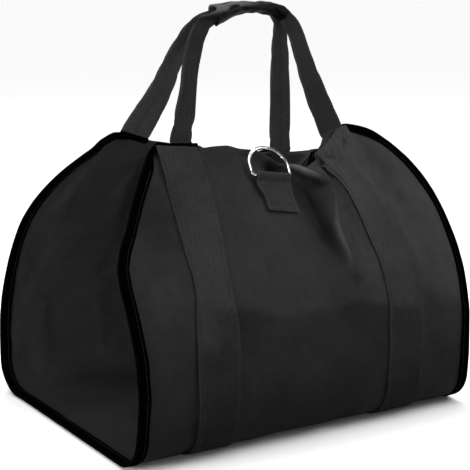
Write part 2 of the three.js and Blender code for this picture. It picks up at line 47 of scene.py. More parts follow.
# Sheet sizes, as in the solids
HALF_WIDTH = 225.0
HALF_LENGTH = 523.0
TOP_HALF_WIDTH = 154.0
CLOTH = 2.0
WEBBING = 1.7
GAP = 0.4
STRAP_AT = 126.0
STRAP_HALF = 25.0
STRAP_END = 519.0
LIFT = CLOTH / 2 + GAP + WEBBING
TAIL_FROM = 486.0
TAIL_ROOM = WEBBING + 0.8
NORMAL_STEP = 1.5

# Outline of a hung half: one row per run along it, with the turn of each side
OUTLINE = [
    dict(run=133, front=0.0, back=0.0),
    dict(run=60, front=1.4, back=1.4),
    dict(run=145, front=0.54, back=0.48),
    dict(run=128, front=0.37, back=0.53),
    dict(run=57, front=0.08, back=0.0),
]

# How far the top is drawn in across the width
GATHER = dict(
    front=dict(start=320, left=0.14, right=0.165),
    back=dict(start=235, left=0.172, right=0.28),
)

# Rounded shoulders of the cut
SHOULDER = dict(
    front=dict(start=398, power=1.66, root=1.52),
    back=dict(start=363, power=1.61, root=1.41),
)

# Extra inward lean between two places along the sheet
LEAN = [
    dict(side="front", u=(-80, -40, -10, 20, 50, 66, 78, 88),
         start=(466, 468, 472, 473, 465, 455, 447, 444), run=(30, 28, 24, 14, 11, 12, 16, 20),
         turn=(0, 0.18, 0.38, 0.55, 0.64, 0.6, 0.35, 0)),
    dict(side="front", u=(-128, -96, 94, 148, 225), start=240, run=50,
         turn=(0, -0.146, -0.146, -0.165, -0.178)),
    dict(side="front", u=(-128, -93, -75, -57, -26, -4, 28, 45, 94, 148, 225),
         start=(312, 312, 305, 298, 292, 296, 289, 298, 290, 276, 264), run=18,
         turn=(0, 0.24, 0.24, 0.24, 0.24, 0.24, 0.24, 0.24, 0.24, 0.2, 0.2)),
    dict(side="front", u=(-128, -96, 94, 148, 225), start=330, run=70,
         turn=(0, -0.094, -0.094, -0.035, -0.022)),
    dict(side="back", u=(-126, -60, 0, 60, 126), start=440, run=60, turn=(0, 0.3, 0.45, 0.5, 0.3)),
    dict(side="back", u=(-126, 126), start=338, run=128, turn=(0, 0.22)),
]

# Right corners: the front's stands higher than its left one, the back's lies further out and lower.
# A row moves its side along one axis, more and more from a place (u, g) on over two runs
CORNER_COLUMNS = ("side", "axis", "move", "u", "across", "g", "along")
CORNERS = [
    ("front", 2, 7, 112, 40, 400, 90),
    ("back", 0, 36, 126, 22, 330, 110),
    ("back", 2, -4.5, 110, 30, 430, 60),
]

# Cut of the rims: how far each is moved out at places g
RIM = dict(
    front={
        -1: dict(g=(200, 240, 280, 300, 320, 340, 360, 380, 400, 420, 440, 460, 480, 500, 523),
                 out=(0, -1.5, -0.7, 0.6, 2.2, 4, 7.8, 9.6, 5.6, -0.9, -3.8, -5.5, -7, -7, -3)),
        1: dict(g=(130, 170, 200, 225, 250, 290, 340, 380, 404, 420, 440, 462, 484, 505, 523),
                out=(0, -2, -4, -5, -6.5, -7.5, -7.5, -4.5, -1.5, 2, 5, 6.5, 5.5, 3.5, 2)),
    },
    back={
        -1: dict(g=(110, 150, 180, 220, 260, 300, 400, 440, 470, 500, 523),
                 out=(0, 1.5, 2, 0, -2, -3, -3, -4.4, -5, -5, -3)),
        1: dict(g=(0, 523), out=(0, 0)),
    },
)

# Cut of the top edges: where each lies at places u
TOP_CUT = dict(
    front=dict(u=(-154, -140, -120, -101, -93, -66, -28, 0, 12, 24, 40, 56, 72, 84, 101, 118),
               g=(523, 520, 518, 516, 514, 512, 514, 514, 501, 484, 481, 482, 487, 493, 506, 523)),
    back=dict(u=(-154, -135, -120, -105, -95, -70), g=(522, 519.5, 518, 516.5, 516.5, 523)),
)
TOP_CUT_FROM = 440.0

# Folds and dents: a line from (u0, g0) to (u1, g1), the rise at each end, level half width and slope
FOLD_COLUMNS = ("side", "u0", "g0", "rise0", "u1", "g1", "rise1", "level", "slope")
FOLDS = [
    ("front", 74, 470, 5, 62, 340, 3, 0, 17),
    ("front", 45, 462, -5, 40, 350, -3, 0, 18),
    ("front", 87, 505, -6, 88, 350, -3, 0, 13),
    ("front", 126, 535, -8, 126, 400, -4, 30, 34),
    ("front", -62, 523, 6, -60, 460, 2, 0, 34),
    ("front", -180, 330, 6, -190, 250, 2, 0, 40),
    ("front", 190, 400, 6, 195, 260, 3, 0, 40),
    ("front", -156, 390, 0, -155, 150, -3, 0, 8),
    ("back", 0, 500, -5, 10, 380, -3, 0, 30),
    ("back", -60, 470, 5, -50, 330, 3, 0, 30),
    ("back", 60, 470, 5, 55, 330, 3, 0, 30),
    ("back", 55, 470, -17, 140, 462, -17, 8, 36),
]

# Creases of the front: a line through places (u, g, rise), the width of each flank, and whether it is crisp
CREASE_COLUMNS = ("line", "above", "below", "crisp")
CLOTH_CREASES = [
    (((16, 481, 0), (26, 477, 4), (40, 472, 6.5), (51, 466, 7.5), (63, 455, 7.5), (70, 446, 6.5),
      (68, 430, 6), (62, 412, 6), (58, 400, 6), (58, 386, 5), (60, 362, 3.5), (58, 336, 0)), 17, 11, True),
    (((22, 466, -3), (32, 452, -8), (40, 432, -10), (42, 410, -10), (46, 388, -8), (51, 366, -4),
      (55, 345, -1), (57, 320, 0)), 14, 22, False),
    (((-12, 481, -3), (-2, 479, -9), (10, 481, -8), (18, 488, -3)), 8, 9, False),
    (((82, 410, 0), (78, 380, -2.6), (72, 345, 0)), 7, 6, False),
    (((104, 508, 1), (110, 503, 2), (116, 500, 1)), 8, 8, False),
    (((90, 491, -1), (104, 485, -4), (122, 477, -1)), 7, 8, False),
    (((140, 508, -1.5), (134, 500, -5), (128, 492, -2)), 6, 6, False),
    (((124, 486, 1), (130, 456, 2), (136, 440, 2), (140, 411, 1.8), (141, 362, 0)), 6, 7, False),
]

# Part of the front that has creases
CREASED = dict(left=-30.0, right=170.0, g=300.0)

# Painted highlight along the front's crest: places (u, g) and how strong it is there, then its half width
CREST_HIGHLIGHT_LINE = (
    (20, 480, 0.1), (30, 476, 0.7), (44, 470, 0.8), (52, 465, 0.7), (60, 457, 0.4), (67, 448, 0.12),
    (68, 430, 0.1), (62, 412, 0.25), (58, 398, 0.42), (58, 384, 0.42), (60, 362, 0.3), (58, 336, 0),
)
CREST_HIGHLIGHT_WIDE = 2.0

SIDES = dict(front=-1.0, back=1.0)
GIRTH = np.arange(0.0, HALF_LENGTH + 1.0)
ACROSS_STEP = 2.0
ACROSS = np.arange(-232.0, 233.0, ACROSS_STEP)


def smooth(t):
    t = np.clip(t, 0.0, 1.0)
    return t * t * (3.0 - 2.0 * t)


# Smooth rise from 0 to 1 that starts at a place and takes a run
def ramp(value, start, run):
    return smooth((value - start) / run)


def unit(vectors):
    return vectors / np.linalg.norm(vectors, axis=1)[:, None]


def heading(side):
    g = GIRTH[:-1] + 0.5
    angle = np.zeros((len(ACROSS), len(g)))
    start = 0.0
    for row in OUTLINE:
        angle += row[side] * np.clip((g - start) / row["run"], 0.0, 1.0)
        start += row["run"]
    for lean in LEAN:
        if lean["side"] == side:
            turn, begin, run = [
                np.interp(ACROSS, lean["u"], np.broadcast_to(lean[name], len(lean["u"])))[:, None]
                for name in ("turn", "start", "run")]
            angle += turn * ramp(g, begin, run)
    return angle


def columns_of(side):
    angle = heading(side)
    zero = np.zeros((len(ACROSS), 1))
    out = np.hstack([zero, np.cumsum(np.cos(angle), axis=1)])
    up = np.hstack([zero, np.cumsum(np.sin(angle), axis=1)])
    return out, up


COLUMNS = {side: columns_of(side) for side in SIDES}


def look_up(grid, u, g):
    i = np.clip((u - ACROSS[0]) / ACROSS_STEP, 0.0, len(ACROSS) - 1.001)
    j = np.clip(g, 0.0, HALF_LENGTH - 0.001)
    i0 = i.astype(int)
    j0 = j.astype(int)
    fi = i - i0
    fj = j - j0
    low = grid[i0, j0] * (1 - fj) + grid[i0, j0 + 1] * fj
    high = grid[i0 + 1, j0] * (1 - fj) + grid[i0 + 1, j0 + 1] * fj
    return low * (1 - fi) + high * fi


# The hung sheet without its folds
def hung(u, s):
    points = np.zeros((len(u), 3))
    for side, sign in SIDES.items():
        here = (s < 0) if sign < 0 else (s >= 0)
        uu = u[here]
        g = np.abs(s[here])
        row = GATHER[side]
        drawn = ramp(g, row["start"], HALF_LENGTH - row["start"])
        amount = np.where(uu < 0, row["left"], row["right"])
        out, up = COLUMNS[side]
        place = [uu * (1 - amount * drawn), sign * look_up(out, uu, g), look_up(up, uu, g) + LIFT]
        for values in CORNERS:
            row = dict(zip(CORNER_COLUMNS, values))
            if row["side"] == side:
                moved = ramp(uu, row["u"], row["across"]) * ramp(g, row["g"], row["along"])
                place[row["axis"]] = place[row["axis"]] + row["move"] * moved
        points[here] = np.stack(place, axis=1)
    return points


# How far along a line each place lies, from 0 to 1, and its distance from the line
def to_line(x, y, x0, y0, x1, y1):
    dx = x1 - x0
    dy = y1 - y0
    t = np.clip(((x - x0) * dx + (y - y0) * dy) / (dx * dx + dy * dy), 0, 1)
    return t, np.hypot(x - x0 - t * dx, y - y0 - t * dy)


def fold_rise(u, s):
    total = np.zeros(len(u))
    for values in FOLDS:
        row = dict(zip(FOLD_COLUMNS, values))
        g = s * SIDES[row["side"]]
        t, off = to_line(u, g, row["u0"], row["g0"], row["u1"], row["g1"])
        away = np.clip((off - row["level"]) / row["slope"], 0, 1)
        rise = row["rise0"] + (row["rise1"] - row["rise0"]) * t
        total += np.where(g > 0, rise * (0.5 + 0.5 * np.cos(np.pi * away)), 0.0)
    return total


# Distance of places from a line of several parts, its third value there, and whether they lie above it
def beside(line, u, g):
    best = np.full(len(u), 1e9)
    rise = np.zeros(len(u))
    above = np.zeros(len(u), bool)
    for (u0, g0, r0), (u1, g1, r1) in zip(line, line[1:]):
        t, off = to_line(u, g, u0, g0, u1, g1)
        closer = off < best
        best = np.where(closer, off, best)
        rise = np.where(closer, r0 + (r1 - r0) * t, rise)
        above = np.where(closer, (u1 - u0) * (g - g0) - (g1 - g0) * (u - u0) > 0, above)
    return best, rise, above


def creased_part(u, s):
    return (s < -CREASED["g"]) & (u > CREASED["left"]) & (u < CREASED["right"])


# Rise of the creases: each flank falls away from its line on its own side
def crease_rise(u, s):
    total = np.zeros(len(u))
    near = creased_part(u, s)
    for values in CLOTH_CREASES:
        row = dict(zip(CREASE_COLUMNS, values))
        off, rise, above = beside(row["line"], u[near], -s[near])
        away = off / np.where(above, row["above"], row["below"])
        total[near] += rise * (np.clip(1 - away, 0, 1) ** 2 if row["crisp"] else (1 + away ** 2) ** -1.5)
    return total


# Painted highlight along the crest, fading away from its line
def crest_highlight(u, s):
    total = np.zeros(len(u))
    near = creased_part(u, s)
    off, lightened, above = beside(CREST_HIGHLIGHT_LINE, u[near], -s[near])
    total[near] = lightened * np.exp(-(off / CREST_HIGHLIGHT_WIDE) ** 2)
    return total


def facing(place, u, s):
    d = NORMAL_STEP
    across = place(u + d, s) - place(u - d, s)
    ahead = place(u, np.clip(s + d, -HALF_LENGTH, HALF_LENGTH))
    behind = place(u, np.clip(s - d, -HALF_LENGTH, HALF_LENGTH))
    return unit(np.cross(ahead - behind, across))


def sheet(u, s):
    return hung(u, s) + (fold_rise(u, s) + crease_rise(u, s))[:, None] * facing(hung, u, s)


# Points at a height over the middle of the cloth
def over(u, s, height):
    u = np.asarray(u, float)
    s = np.asarray(s, float)
    height = np.broadcast_to(np.asarray(height, float), u.shape)
    return sheet(u, s) + height[:, None] * facing(sheet, u, s)


def half_width(g, side, sign):
    row = SHOULDER[side]
    t = np.clip((g - row["start"]) / (HALF_LENGTH - row["start"]), 0.0, 1.0)
    reach = np.maximum(0.0, 1.0 - t ** row["power"]) ** (1.0 / row["root"])
    width = TOP_HALF_WIDTH + (HALF_WIDTH - TOP_HALF_WIDTH) * reach
    left, right = [np.interp(g, RIM[side][end]["g"], RIM[side][end]["out"]) for end in (-1, 1)]
    return width + np.where(np.asarray(sign) > 0, right, left)


def half_width_at(u, s):
    return np.where(s < 0, half_width(np.abs(s), "front", u), half_width(np.abs(s), "back", u))


# Rows near a top edge drawn in to its cut
def trimmed(u, s):
    room = HALF_LENGTH - TOP_CUT_FROM
    for side, sign in SIDES.items():
        cut = (np.interp(u, TOP_CUT[side]["u"], TOP_CUT[side]["g"]) - TOP_CUT_FROM) / room
        beyond = sign * s - TOP_CUT_FROM
        s = np.where(beyond > 0, sign * (TOP_CUT_FROM + beyond * cut), s)
    return s


# Soft waves from a seeded set of plane waves, between about -1 and 1
def waves(u, s, length, seed, count=14, stretch=1.0):
    draw = np.random.default_rng(seed)
    total = np.zeros(len(u))
    for _ in range(count):
        angle = draw.uniform(0, 2 * math.pi)
        size = length * draw.uniform(0.7, 1.5)
        phase = draw.uniform(0, 2 * math.pi)
        total += np.sin(2 * math.pi * (u * math.cos(angle) + s / stretch * math.sin(angle)) / size + phase)
    return total / math.sqrt(count)


# Making pieces: a flat grid, with the place of each of its points across and along it, between -1 and 1
def flat_piece(name, columns, rows):
    bpy.ops.object.select_all(action="DESELECT")
    bpy.ops.mesh.primitive_grid_add(x_subdivisions=columns, y_subdivisions=rows, size=2.0)
    piece = bpy.context.object
    piece.name = name
    piece.data.name = name
    co = np.zeros(len(piece.data.vertices) * 3)
    piece.data.vertices.foreach_get("co", co)
    co = co.reshape(-1, 3)
    return piece, co[:, 0], co[:, 1]


def set_points(piece, points):
    piece.data.vertices.foreach_set("co", (points * MM).astype(np.float32).ravel())
    piece.data.update()


# The cut's own measures in metres, as the map that weaves and ribs follow
def set_flat_map(piece, across, along):
    mesh = piece.data
    corner = np.zeros(len(mesh.loops), int)
    mesh.loops.foreach_get("vertex_index", corner)
    layer = mesh.uv_layers[0]
    layer.name = "flat"
    flat = np.stack([across[corner], along[corner]], axis=1) * MM
    layer.data.foreach_set("uv", flat.astype(np.float32).ravel())


def set_mask(piece, name, values):
    mask = piece.data.attributes.new(name, "FLOAT", "POINT")
    mask.data.foreach_set("value", values.astype(np.float32))


def activate(piece):
    bpy.ops.object.select_all(action="DESELECT")
    piece.select_set(True)
    bpy.context.view_layer.objects.active = piece


@contextmanager
def editing(piece):
    activate(piece)
    bpy.ops.object.mode_set(mode="EDIT")
    bpy.ops.mesh.select_all(action="SELECT")
    yield
    bpy.ops.object.mode_set(mode="OBJECT")


def flip(piece):
    with editing(piece):
        bpy.ops.mesh.flip_normals()


def thicken(piece, thickness, inner_slot=0, offset=0.0):
    activate(piece)
    wall = piece.modifiers.new("wall", "SOLIDIFY")
    wall.thickness = thickness * MM
    wall.offset = offset
    wall.material_offset = inner_slot
    bpy.ops.object.modifier_apply(modifier=wall.name)


def smooth_shade(piece, degrees=40):
    activate(piece)
    bpy.ops.object.shade_smooth_by_angle(angle=math.radians(degrees))


def dress(piece, body, slot, *materials):
    for material in materials:
        piece.data.materials.append(material)
    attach(piece, body)


# A sheet gets its thickness and stands for its node; a second material goes on its inner side
def finish_sheet(piece, node, slot, thickness, angle, *materials):
    dress(piece, "bag", slot, *materials)
    thicken(piece, thickness, inner_slot=len(materials) - 1)
    smooth_shade(piece, angle)
    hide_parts(node)
    return piece


# Number of the row or column at a place between -1 and 1
def step_at(place, count):
    return np.rint((place + 1) / 2 * count).astype(int)


# Shader helpers: an input that is a socket is linked, any other is set
def feed(tree, value, socket):
    if isinstance(value, bpy.types.NodeSocket):
        tree.links.new(value, socket)
    else:
        socket.default_value = value


def new_node(tree, kind, settings=None, **inputs):
    node = tree.nodes.new("ShaderNode" + kind)
    for name, value in (settings or {}).items():
        setattr(node, name, value)
    for label, value in inputs.items():
        feed(tree, value, node.inputs[label])
    return node.outputs


def math_node(tree, operation, *values):
    node = tree.nodes.new("ShaderNodeMath")
    node.operation = operation
    for value, socket in zip(values, node.inputs):
        feed(tree, value, socket)
    return node.outputs[0]


def noise_node(tree, vector, scale, detail=3.0, roughness=0.55):
    return new_node(tree, "TexNoise", Vector=vector, Scale=scale, Detail=detail, Roughness=roughness)["Fac"]


def range_node(tree, value, low, high, to_low, to_high):
    ends = {"From Min": low, "From Max": high, "To Min": to_low, "To Max": to_high}
    return new_node(tree, "MapRange", Value=value, **ends)["Result"]


def mix_node(tree, factor, a, b):
    return new_node(tree, "Mix", dict(data_type="RGBA"), Factor=factor, A=a, B=b)["Result"]


def bump_node(tree, height, strength, distance, before=None):
    below = {} if before is None else dict(Normal=before)
    return new_node(tree, "Bump", Strength=strength, Distance=distance, Height=height, **below)["Normal"]


def group_node(tree, group, **values):
    return new_node(tree, "Group", dict(node_tree=group), **values)


def flat_map(tree):
    return new_node(tree, "UVMap", dict(uv_map="flat"))["UV"]


def mask_value(tree, name):
    return new_node(tree, "Attribute", dict(attribute_name=name))["Fac"]


# One round ridge for each whole step of a value
def ridge(tree, value):
    return math_node(tree, "SINE", math_node(tree, "MULTIPLY", math_node(tree, "FRACT", value), math.pi))


def new_group(name, inputs, outputs):
    tree = bpy.data.node_groups.new(name, "ShaderNodeTree")
    for label, kind, default in inputs:
        socket = tree.interface.new_socket(label, in_out="INPUT", socket_type="NodeSocket" + kind)
        if default is not None:
            socket.default_value = default
    for label, kind in outputs:
        tree.interface.new_socket(label, in_out="OUTPUT", socket_type="NodeSocket" + kind)
    return tree, tree.nodes.new("NodeGroupInput").outputs, tree.nodes.new("NodeGroupOutput").inputs


# Plain weave over a map in metres: threads pass over and under each other
def weave_group():
    inputs = [("Map", "Vector", None), ("Threads", "Float", 1000.0)]
    tree, given, result = new_group("plain_weave", inputs, [("Height", "Float")])
    axes = new_node(tree, "SeparateXYZ", Vector=given["Map"])
    across, along = [math_node(tree, "MULTIPLY", axes[name], given["Threads"]) for name in ("X", "Y")]
    cells = math_node(tree, "ADD", math_node(tree, "FLOOR", across), math_node(tree, "FLOOR", along))
    odd = math_node(tree, "FLOORED_MODULO", cells, 2.0)
    first = math_node(tree, "MULTIPLY", ridge(tree, across), odd)
    second = math_node(tree, "MULTIPLY", ridge(tree, along), math_node(tree, "SUBTRACT", 1.0, odd))
    tree.links.new(math_node(tree, "ADD", first, second), result["Height"])
    return tree


# Ribs across a webbing, each rib broken into short floats that step from column to column
def rib_group():
    inputs = [("Map", "Vector", None), ("Ribs", "Float", 400.0), ("Floats", "Float", 300.0)]
    tree, given, result = new_group("webbing_ribs", inputs, [("Height", "Float"), ("Float", "Float")])
    axes = new_node(tree, "SeparateXYZ", Vector=given["Map"])
    column = math_node(tree, "MULTIPLY", axes["X"], given["Floats"])
    row = math_node(tree, "MULTIPLY", axes["Y"], given["Ribs"])
    odd = math_node(tree, "FLOORED_MODULO", math_node(tree, "FLOOR", column), 2.0)
    stepped = math_node(tree, "ADD", row, math_node(tree, "MULTIPLY", odd, 0.5))
    sides = math_node(tree, "POWER", ridge(tree, column), 0.4)
    tree.links.new(math_node(tree, "MULTIPLY", ridge(tree, stepped), sides), result["Height"])
    tree.links.new(ridge(tree, row), result["Float"])
    return tree


# Uneven tone of dyed cloth: broad fading, fine flecks, lighter where the wear-and-light mask says (rubbed
# wear and painted light), and darker where the shade mask says (painted shade)
def tone_group():
    inputs = [
        ("Map", "Vector", None), ("Dark", "Color", (0.01, 0.01, 0.01, 1)),
        ("Light", "Color", (0.03, 0.03, 0.03, 1)), ("Rubbed", "Color", (0.06, 0.06, 0.06, 1)),
        ("Thread", "Float", 0.5), ("Wear", "Float", 0.0), ("Shade", "Float", 0.0),
    ]
    tree, given, result = new_group("cloth_tone", inputs, [("Colour", "Color"), ("Fleck", "Float")])
    broad = noise_node(tree, given["Map"], 14.0, 3.0)
    middle = noise_node(tree, given["Map"], 90.0, 4.0, 0.6)
    fine = noise_node(tree, given["Map"], 480.0, 3.0, 0.7)
    parts = ((broad, 0.45), (middle, 0.3), (fine, 0.25))
    shares = [math_node(tree, "MULTIPLY", value, share) for value, share in parts]
    mixed = math_node(tree, "ADD", math_node(tree, "ADD", shares[0], shares[1]), shares[2])
    spread = range_node(tree, mixed, 0.36, 0.64, 0.0, 0.75)
    factor = math_node(tree, "ADD", spread, math_node(tree, "MULTIPLY", given["Thread"], 0.25))
    dyed = mix_node(tree, factor, given["Dark"], given["Light"])
    patches = range_node(tree, middle, 0.3, 0.7, 0.75, 1.0)
    worn_and_lit = mix_node(tree, math_node(tree, "MULTIPLY", given["Wear"], patches), dyed, given["Rubbed"])
    tree.links.new(mix_node(tree, given["Shade"], worn_and_lit, (0.0, 0.0, 0.0, 1.0)), result["Colour"])
    tree.links.new(fine, result["Fleck"])
    return tree


WEAVE = weave_group()
RIBS = rib_group()
TONE = tone_group()


def new_material(name):
    material = bpy.data.materials.new(name)
    material.use_nodes = True
    return material, material.node_tree, material.node_tree.nodes["Principled BSDF"]


def grey(value, cool=0.0):
    return (value, value * 1.02, value * (1 + cool), 1.0)


def link_looks(tree, shader, colour, rough, normal):
    tree.links.new(colour, shader.inputs["Base Color"])
    tree.links.new(rough, shader.inputs["Roughness"])
    tree.links.new(normal, shader.inputs["Normal"])


# Woven stuff: its dark, light and lightened tones (the last for rubbed wear and painted highlights), its
# threads, the range of its roughness, and its bumps
def weave_looks(tree, shader, tones, thread, shade, rough, bumps):
    dark, light, lightened = tones
    tone = group_node(tree, TONE, Map=flat_map(tree), Dark=dark, Light=light, Rubbed=lightened, Thread=thread,
                      Wear=mask_value(tree, "wear_and_light"), Shade=mask_value(tree, shade))
    normal = None
    for height, strength, distance in bumps:
        normal = bump_node(tree, height, strength, distance, normal)
    link_looks(tree, shader, tone["Colour"], range_node(tree, tone["Fleck"], 0.3, 0.7, *rough), normal)


def cloth_material(name, dark, light, lightened, threads, shade, cool=0.0):
    material, tree, shader = new_material(name)
    place = flat_map(tree)
    weave = group_node(tree, WEAVE, Map=place, Threads=threads)["Height"]
    bumps = ((noise_node(tree, place, 260.0, 3.0, 0.6), 0.35, 0.0012), (weave, 0.5, 0.00035))
    tones = (grey(dark, cool), grey(light, cool), grey(lightened))
    weave_looks(tree, shader, tones, weave, shade, (0.5, 0.62), bumps)
    shader.inputs["Specular IOR Level"].default_value = 0.03
    shader.inputs["Sheen Weight"].default_value = 0.004
    shader.inputs["Sheen Roughness"].default_value = 0.5
    return material


def webbing_material(name, dark, light, lightened, ribs, floats, specular, sheen, contrast=1.0):
    material, tree, shader = new_material(name)
    rib = group_node(tree, RIBS, Map=flat_map(tree), Ribs=ribs, Floats=floats)
    thread = math_node(tree, "MULTIPLY", rib["Height"], contrast)
    bumps = ((rib["Float"], 0.5, 0.0006), (rib["Height"], 0.7, 0.0006))
    tones = (grey(dark), grey(light), grey(lightened))
    weave_looks(tree, shader, tones, thread, "shade", (0.62, 0.82), bumps)
    shader.inputs["Specular IOR Level"].default_value = specular
    shader.inputs["Sheen Weight"].default_value = sheen
    return material


def wrap_material():
    material, tree, shader = new_material("coated_wrap")
    place = flat_map(tree)
    weave = group_node(tree, WEAVE, Map=place, Threads=900.0)["Height"]
    bumps = ((noise_node(tree, place, 160.0, 4.0, 0.6), 0.4, 0.0012), (weave, 0.25, 0.0002))
    tones = (grey(0.0015), grey(0.005), grey(0.1))
    weave_looks(tree, shader, tones, weave, "shade", (0.36, 0.52), bumps)
    shader.inputs["Specular IOR Level"].default_value = 0.03
    return material


def metal_material():
    material, tree, shader = new_material("plated_wire")
    coords = new_node(tree, "TexCoord")["Object"]
    haze = noise_node(tree, coords, 120.0, 4.0, 0.6)
    tarnish = range_node(tree, haze, 0.46, 0.62, 0.0, 1.0)
    colour = mix_node(tree, tarnish, (0.56, 0.55, 0.525, 1), (0.2, 0.19, 0.17, 1))
    normal = bump_node(tree, noise_node(tree, coords, 1500.0, 2.0), 0.05, 0.0002)
    link_looks(tree, shader, colour, range_node(tree, haze, 0.3, 0.7, 0.06, 0.18), normal)
    shader.inputs["Metallic"].default_value = 1.0
    return material


def thread_material(name, dark, light):
    material, tree, shader = new_material(name)
    fine = noise_node(tree, new_node(tree, "TexCoord")["Object"], 700.0, 3.0)
    colour = mix_node(tree, range_node(tree, fine, 0.35, 0.65, 0.0, 1.0), grey(dark), grey(light))
    rough = range_node(tree, fine, 0.3, 0.7, 0.45, 0.7)
    link_looks(tree, shader, colour, rough, bump_node(tree, fine, 0.3, 0.0002))
    shader.inputs["Specular IOR Level"].default_value = 0.15
    return material


OUTER_CLOTH = cloth_material("cloth_outside", 0.0053, 0.0145, 0.095, 1000.0, "shade")
INNER_CLOTH = cloth_material("cloth_inside", 0.0058, 0.0145, 0.02, 1000.0, "inner_shade", cool=0.05)
STRAP_WEB = webbing_material("strap_webbing", 0.0052, 0.0132, 0.034, 380.0, 340.0, 0.04, 0.004)
HANDLE_WEB = webbing_material("handle_webbing", 0.0049, 0.0125, 0.024, 360.0, 300.0, 0.06, 0.004)
# Inner face of the loops: lighter than the outer webbing, painted light standing in for light the back
# loop's downward inner face lacks; its strong ribs are real
HANDLE_INSIDE_LIT = webbing_material(
    "handle_inside_lit", 0.0055, 0.0188, 0.031, 340.0, 60.0, 0.06, 0.004, contrast=2.6)
EDGE_TAPE = webbing_material("edge_tape", 0.0002, 0.0006, 0.001, 700.0, 600.0, 0.0, 0.0)
WRAP = wrap_material()
METAL = metal_material()
SEAM_THREAD = thread_material("seam_thread", 0.006, 0.015)
TAB_THREAD = thread_material("tab_thread", 0.0016, 0.004)
TAPE_THREAD = thread_material("tape_thread", 0.0004, 0.0012)


# Sheet: places of its columns and rows, closest where the folds are, from the ends and count of each part
def places(parts):
    return np.concatenate([np.linspace(*part)[:-1] for part in parts] + [parts[-1][1:2]])


PANEL_U = places(((-225, -12, 53), (-12, 112, 63), (112, 225, 30)))
PANEL_S = places(((-523, -300, 113), (-300, -130, 48), (-130, 130, 42), (130, 523, 98)))
# Soft lumps: height, length, seed and stretch
LUMPS = ((0.9, 75.0, 3, 1.6), (0.4, 30.0, 5, 1.4))
# Start and run of where they begin beside the straps and the rims and end at the top, and of the hung part
LUMPS_FROM_STRAP = (-2.0, 20.0)
LUMPS_FROM_RIM = (12.0, 18.0)
LUMPS_TO_TOP = (500.0, 20.0)
OFF_FLOOR = (120.0, 60.0)
HEM = 13.0
HEM_RISE = 0.5
HEM_RUN = 2.5
RUBBED_EDGE = 0.07
RUBBED_EDGE_PART = (HALF_LENGTH - 3.5, 3.0)
# Dust and painted top light on faces turned up: how much, where it starts, its waves and run, and the
# crease depth that keeps it out
DUST_AND_LIGHT = 0.3
DUST_AND_LIGHT_START = 0.1
DUST_AND_LIGHT_WAVES = 0.05
DUST_AND_LIGHT_RUN = 0.26
DUST_AND_LIGHT_FREE_DEPTH = 7.0
# Painted light across the front, lighter towards the right where the light falls: places u and how much the
# dust and top light counts there
LIGHT_ACROSS_U = (-225, -60, 40, 150, 225)
LIGHT_ACROSS = (0.13, 0.2, 0.22, 0.44, 0.47)
# Painted shade on the front, where shadow and shading fall: darker spots at (u, g), their half widths
# across and along, and how much they darken
PAINTED_SHADE_SPOTS = [
    (-182, 445, 45, 55, 0.45), (-70, 494, 52, 26, 0.3), (52, 308, 32, 40, 0.38), (176, 472, 40, 36, 0.14),
    (-64, 420, 30, 30, 0.1), (-10, 506, 28, 18, 0.72), (5, 485, 16, 10, 0.97), (56, 451, 15, 8, 0.4),
]
# Painted shade, darker towards the bottom: where it starts, its run and how much
LOWER_SHADE = dict(start=290.0, run=140.0, amount=0.6)
# Painted shade deep in the creases: how dark, and the depth where it is full
CREASE_SHADE = 0.4
CREASE_SHADE_DEPTH = 8.0
# Painted shade on the inside of the back: how dark, and the start and run of it across and along
INNER_SHADE = 0.95
INNER_SHADE_U = (-20.0, 50.0)
INNER_SHADE_S = (380.0, 60.0)


def squeezed(u, s):
    outer = STRAP_AT + STRAP_HALF
    w = half_width_at(u, s)
    part = np.clip((np.abs(u) - outer) / (HALF_WIDTH - outer), 0.0, None)
    return np.where(np.abs(u) <= outer, u, np.sign(u) * (outer + (w - outer) * part))


# Dust and painted top light: lighter where the cloth faces up, and none in its creases, which leaves them
# darker as painted shade
def dust_and_top_light(u, s):
    start = DUST_AND_LIGHT_START + DUST_AND_LIGHT_WAVES * waves(u, s, 60.0, 41)
    settled = DUST_AND_LIGHT * ramp(facing(sheet, u, s)[:, 2], start, DUST_AND_LIGHT_RUN)
    return settled * (1 - smooth(-crease_rise(u, s) / DUST_AND_LIGHT_FREE_DEPTH))


# Painted shade: in spots of the front, darker towards the bottom, and deep in the creases
def painted_shade(u, s):
    kept = 1 - LOWER_SHADE["amount"] * smooth((LOWER_SHADE["start"] - np.abs(s)) / LOWER_SHADE["run"])
    for u0, g0, wide, tall, amount in PAINTED_SHADE_SPOTS:
        kept *= 1 - amount * np.exp(-((u - u0) / wide) ** 2 - ((s + g0) / tall) ** 2)
    return 1 - kept * (1 - CREASE_SHADE * smooth(-crease_rise(u, s) / CREASE_SHADE_DEPTH))


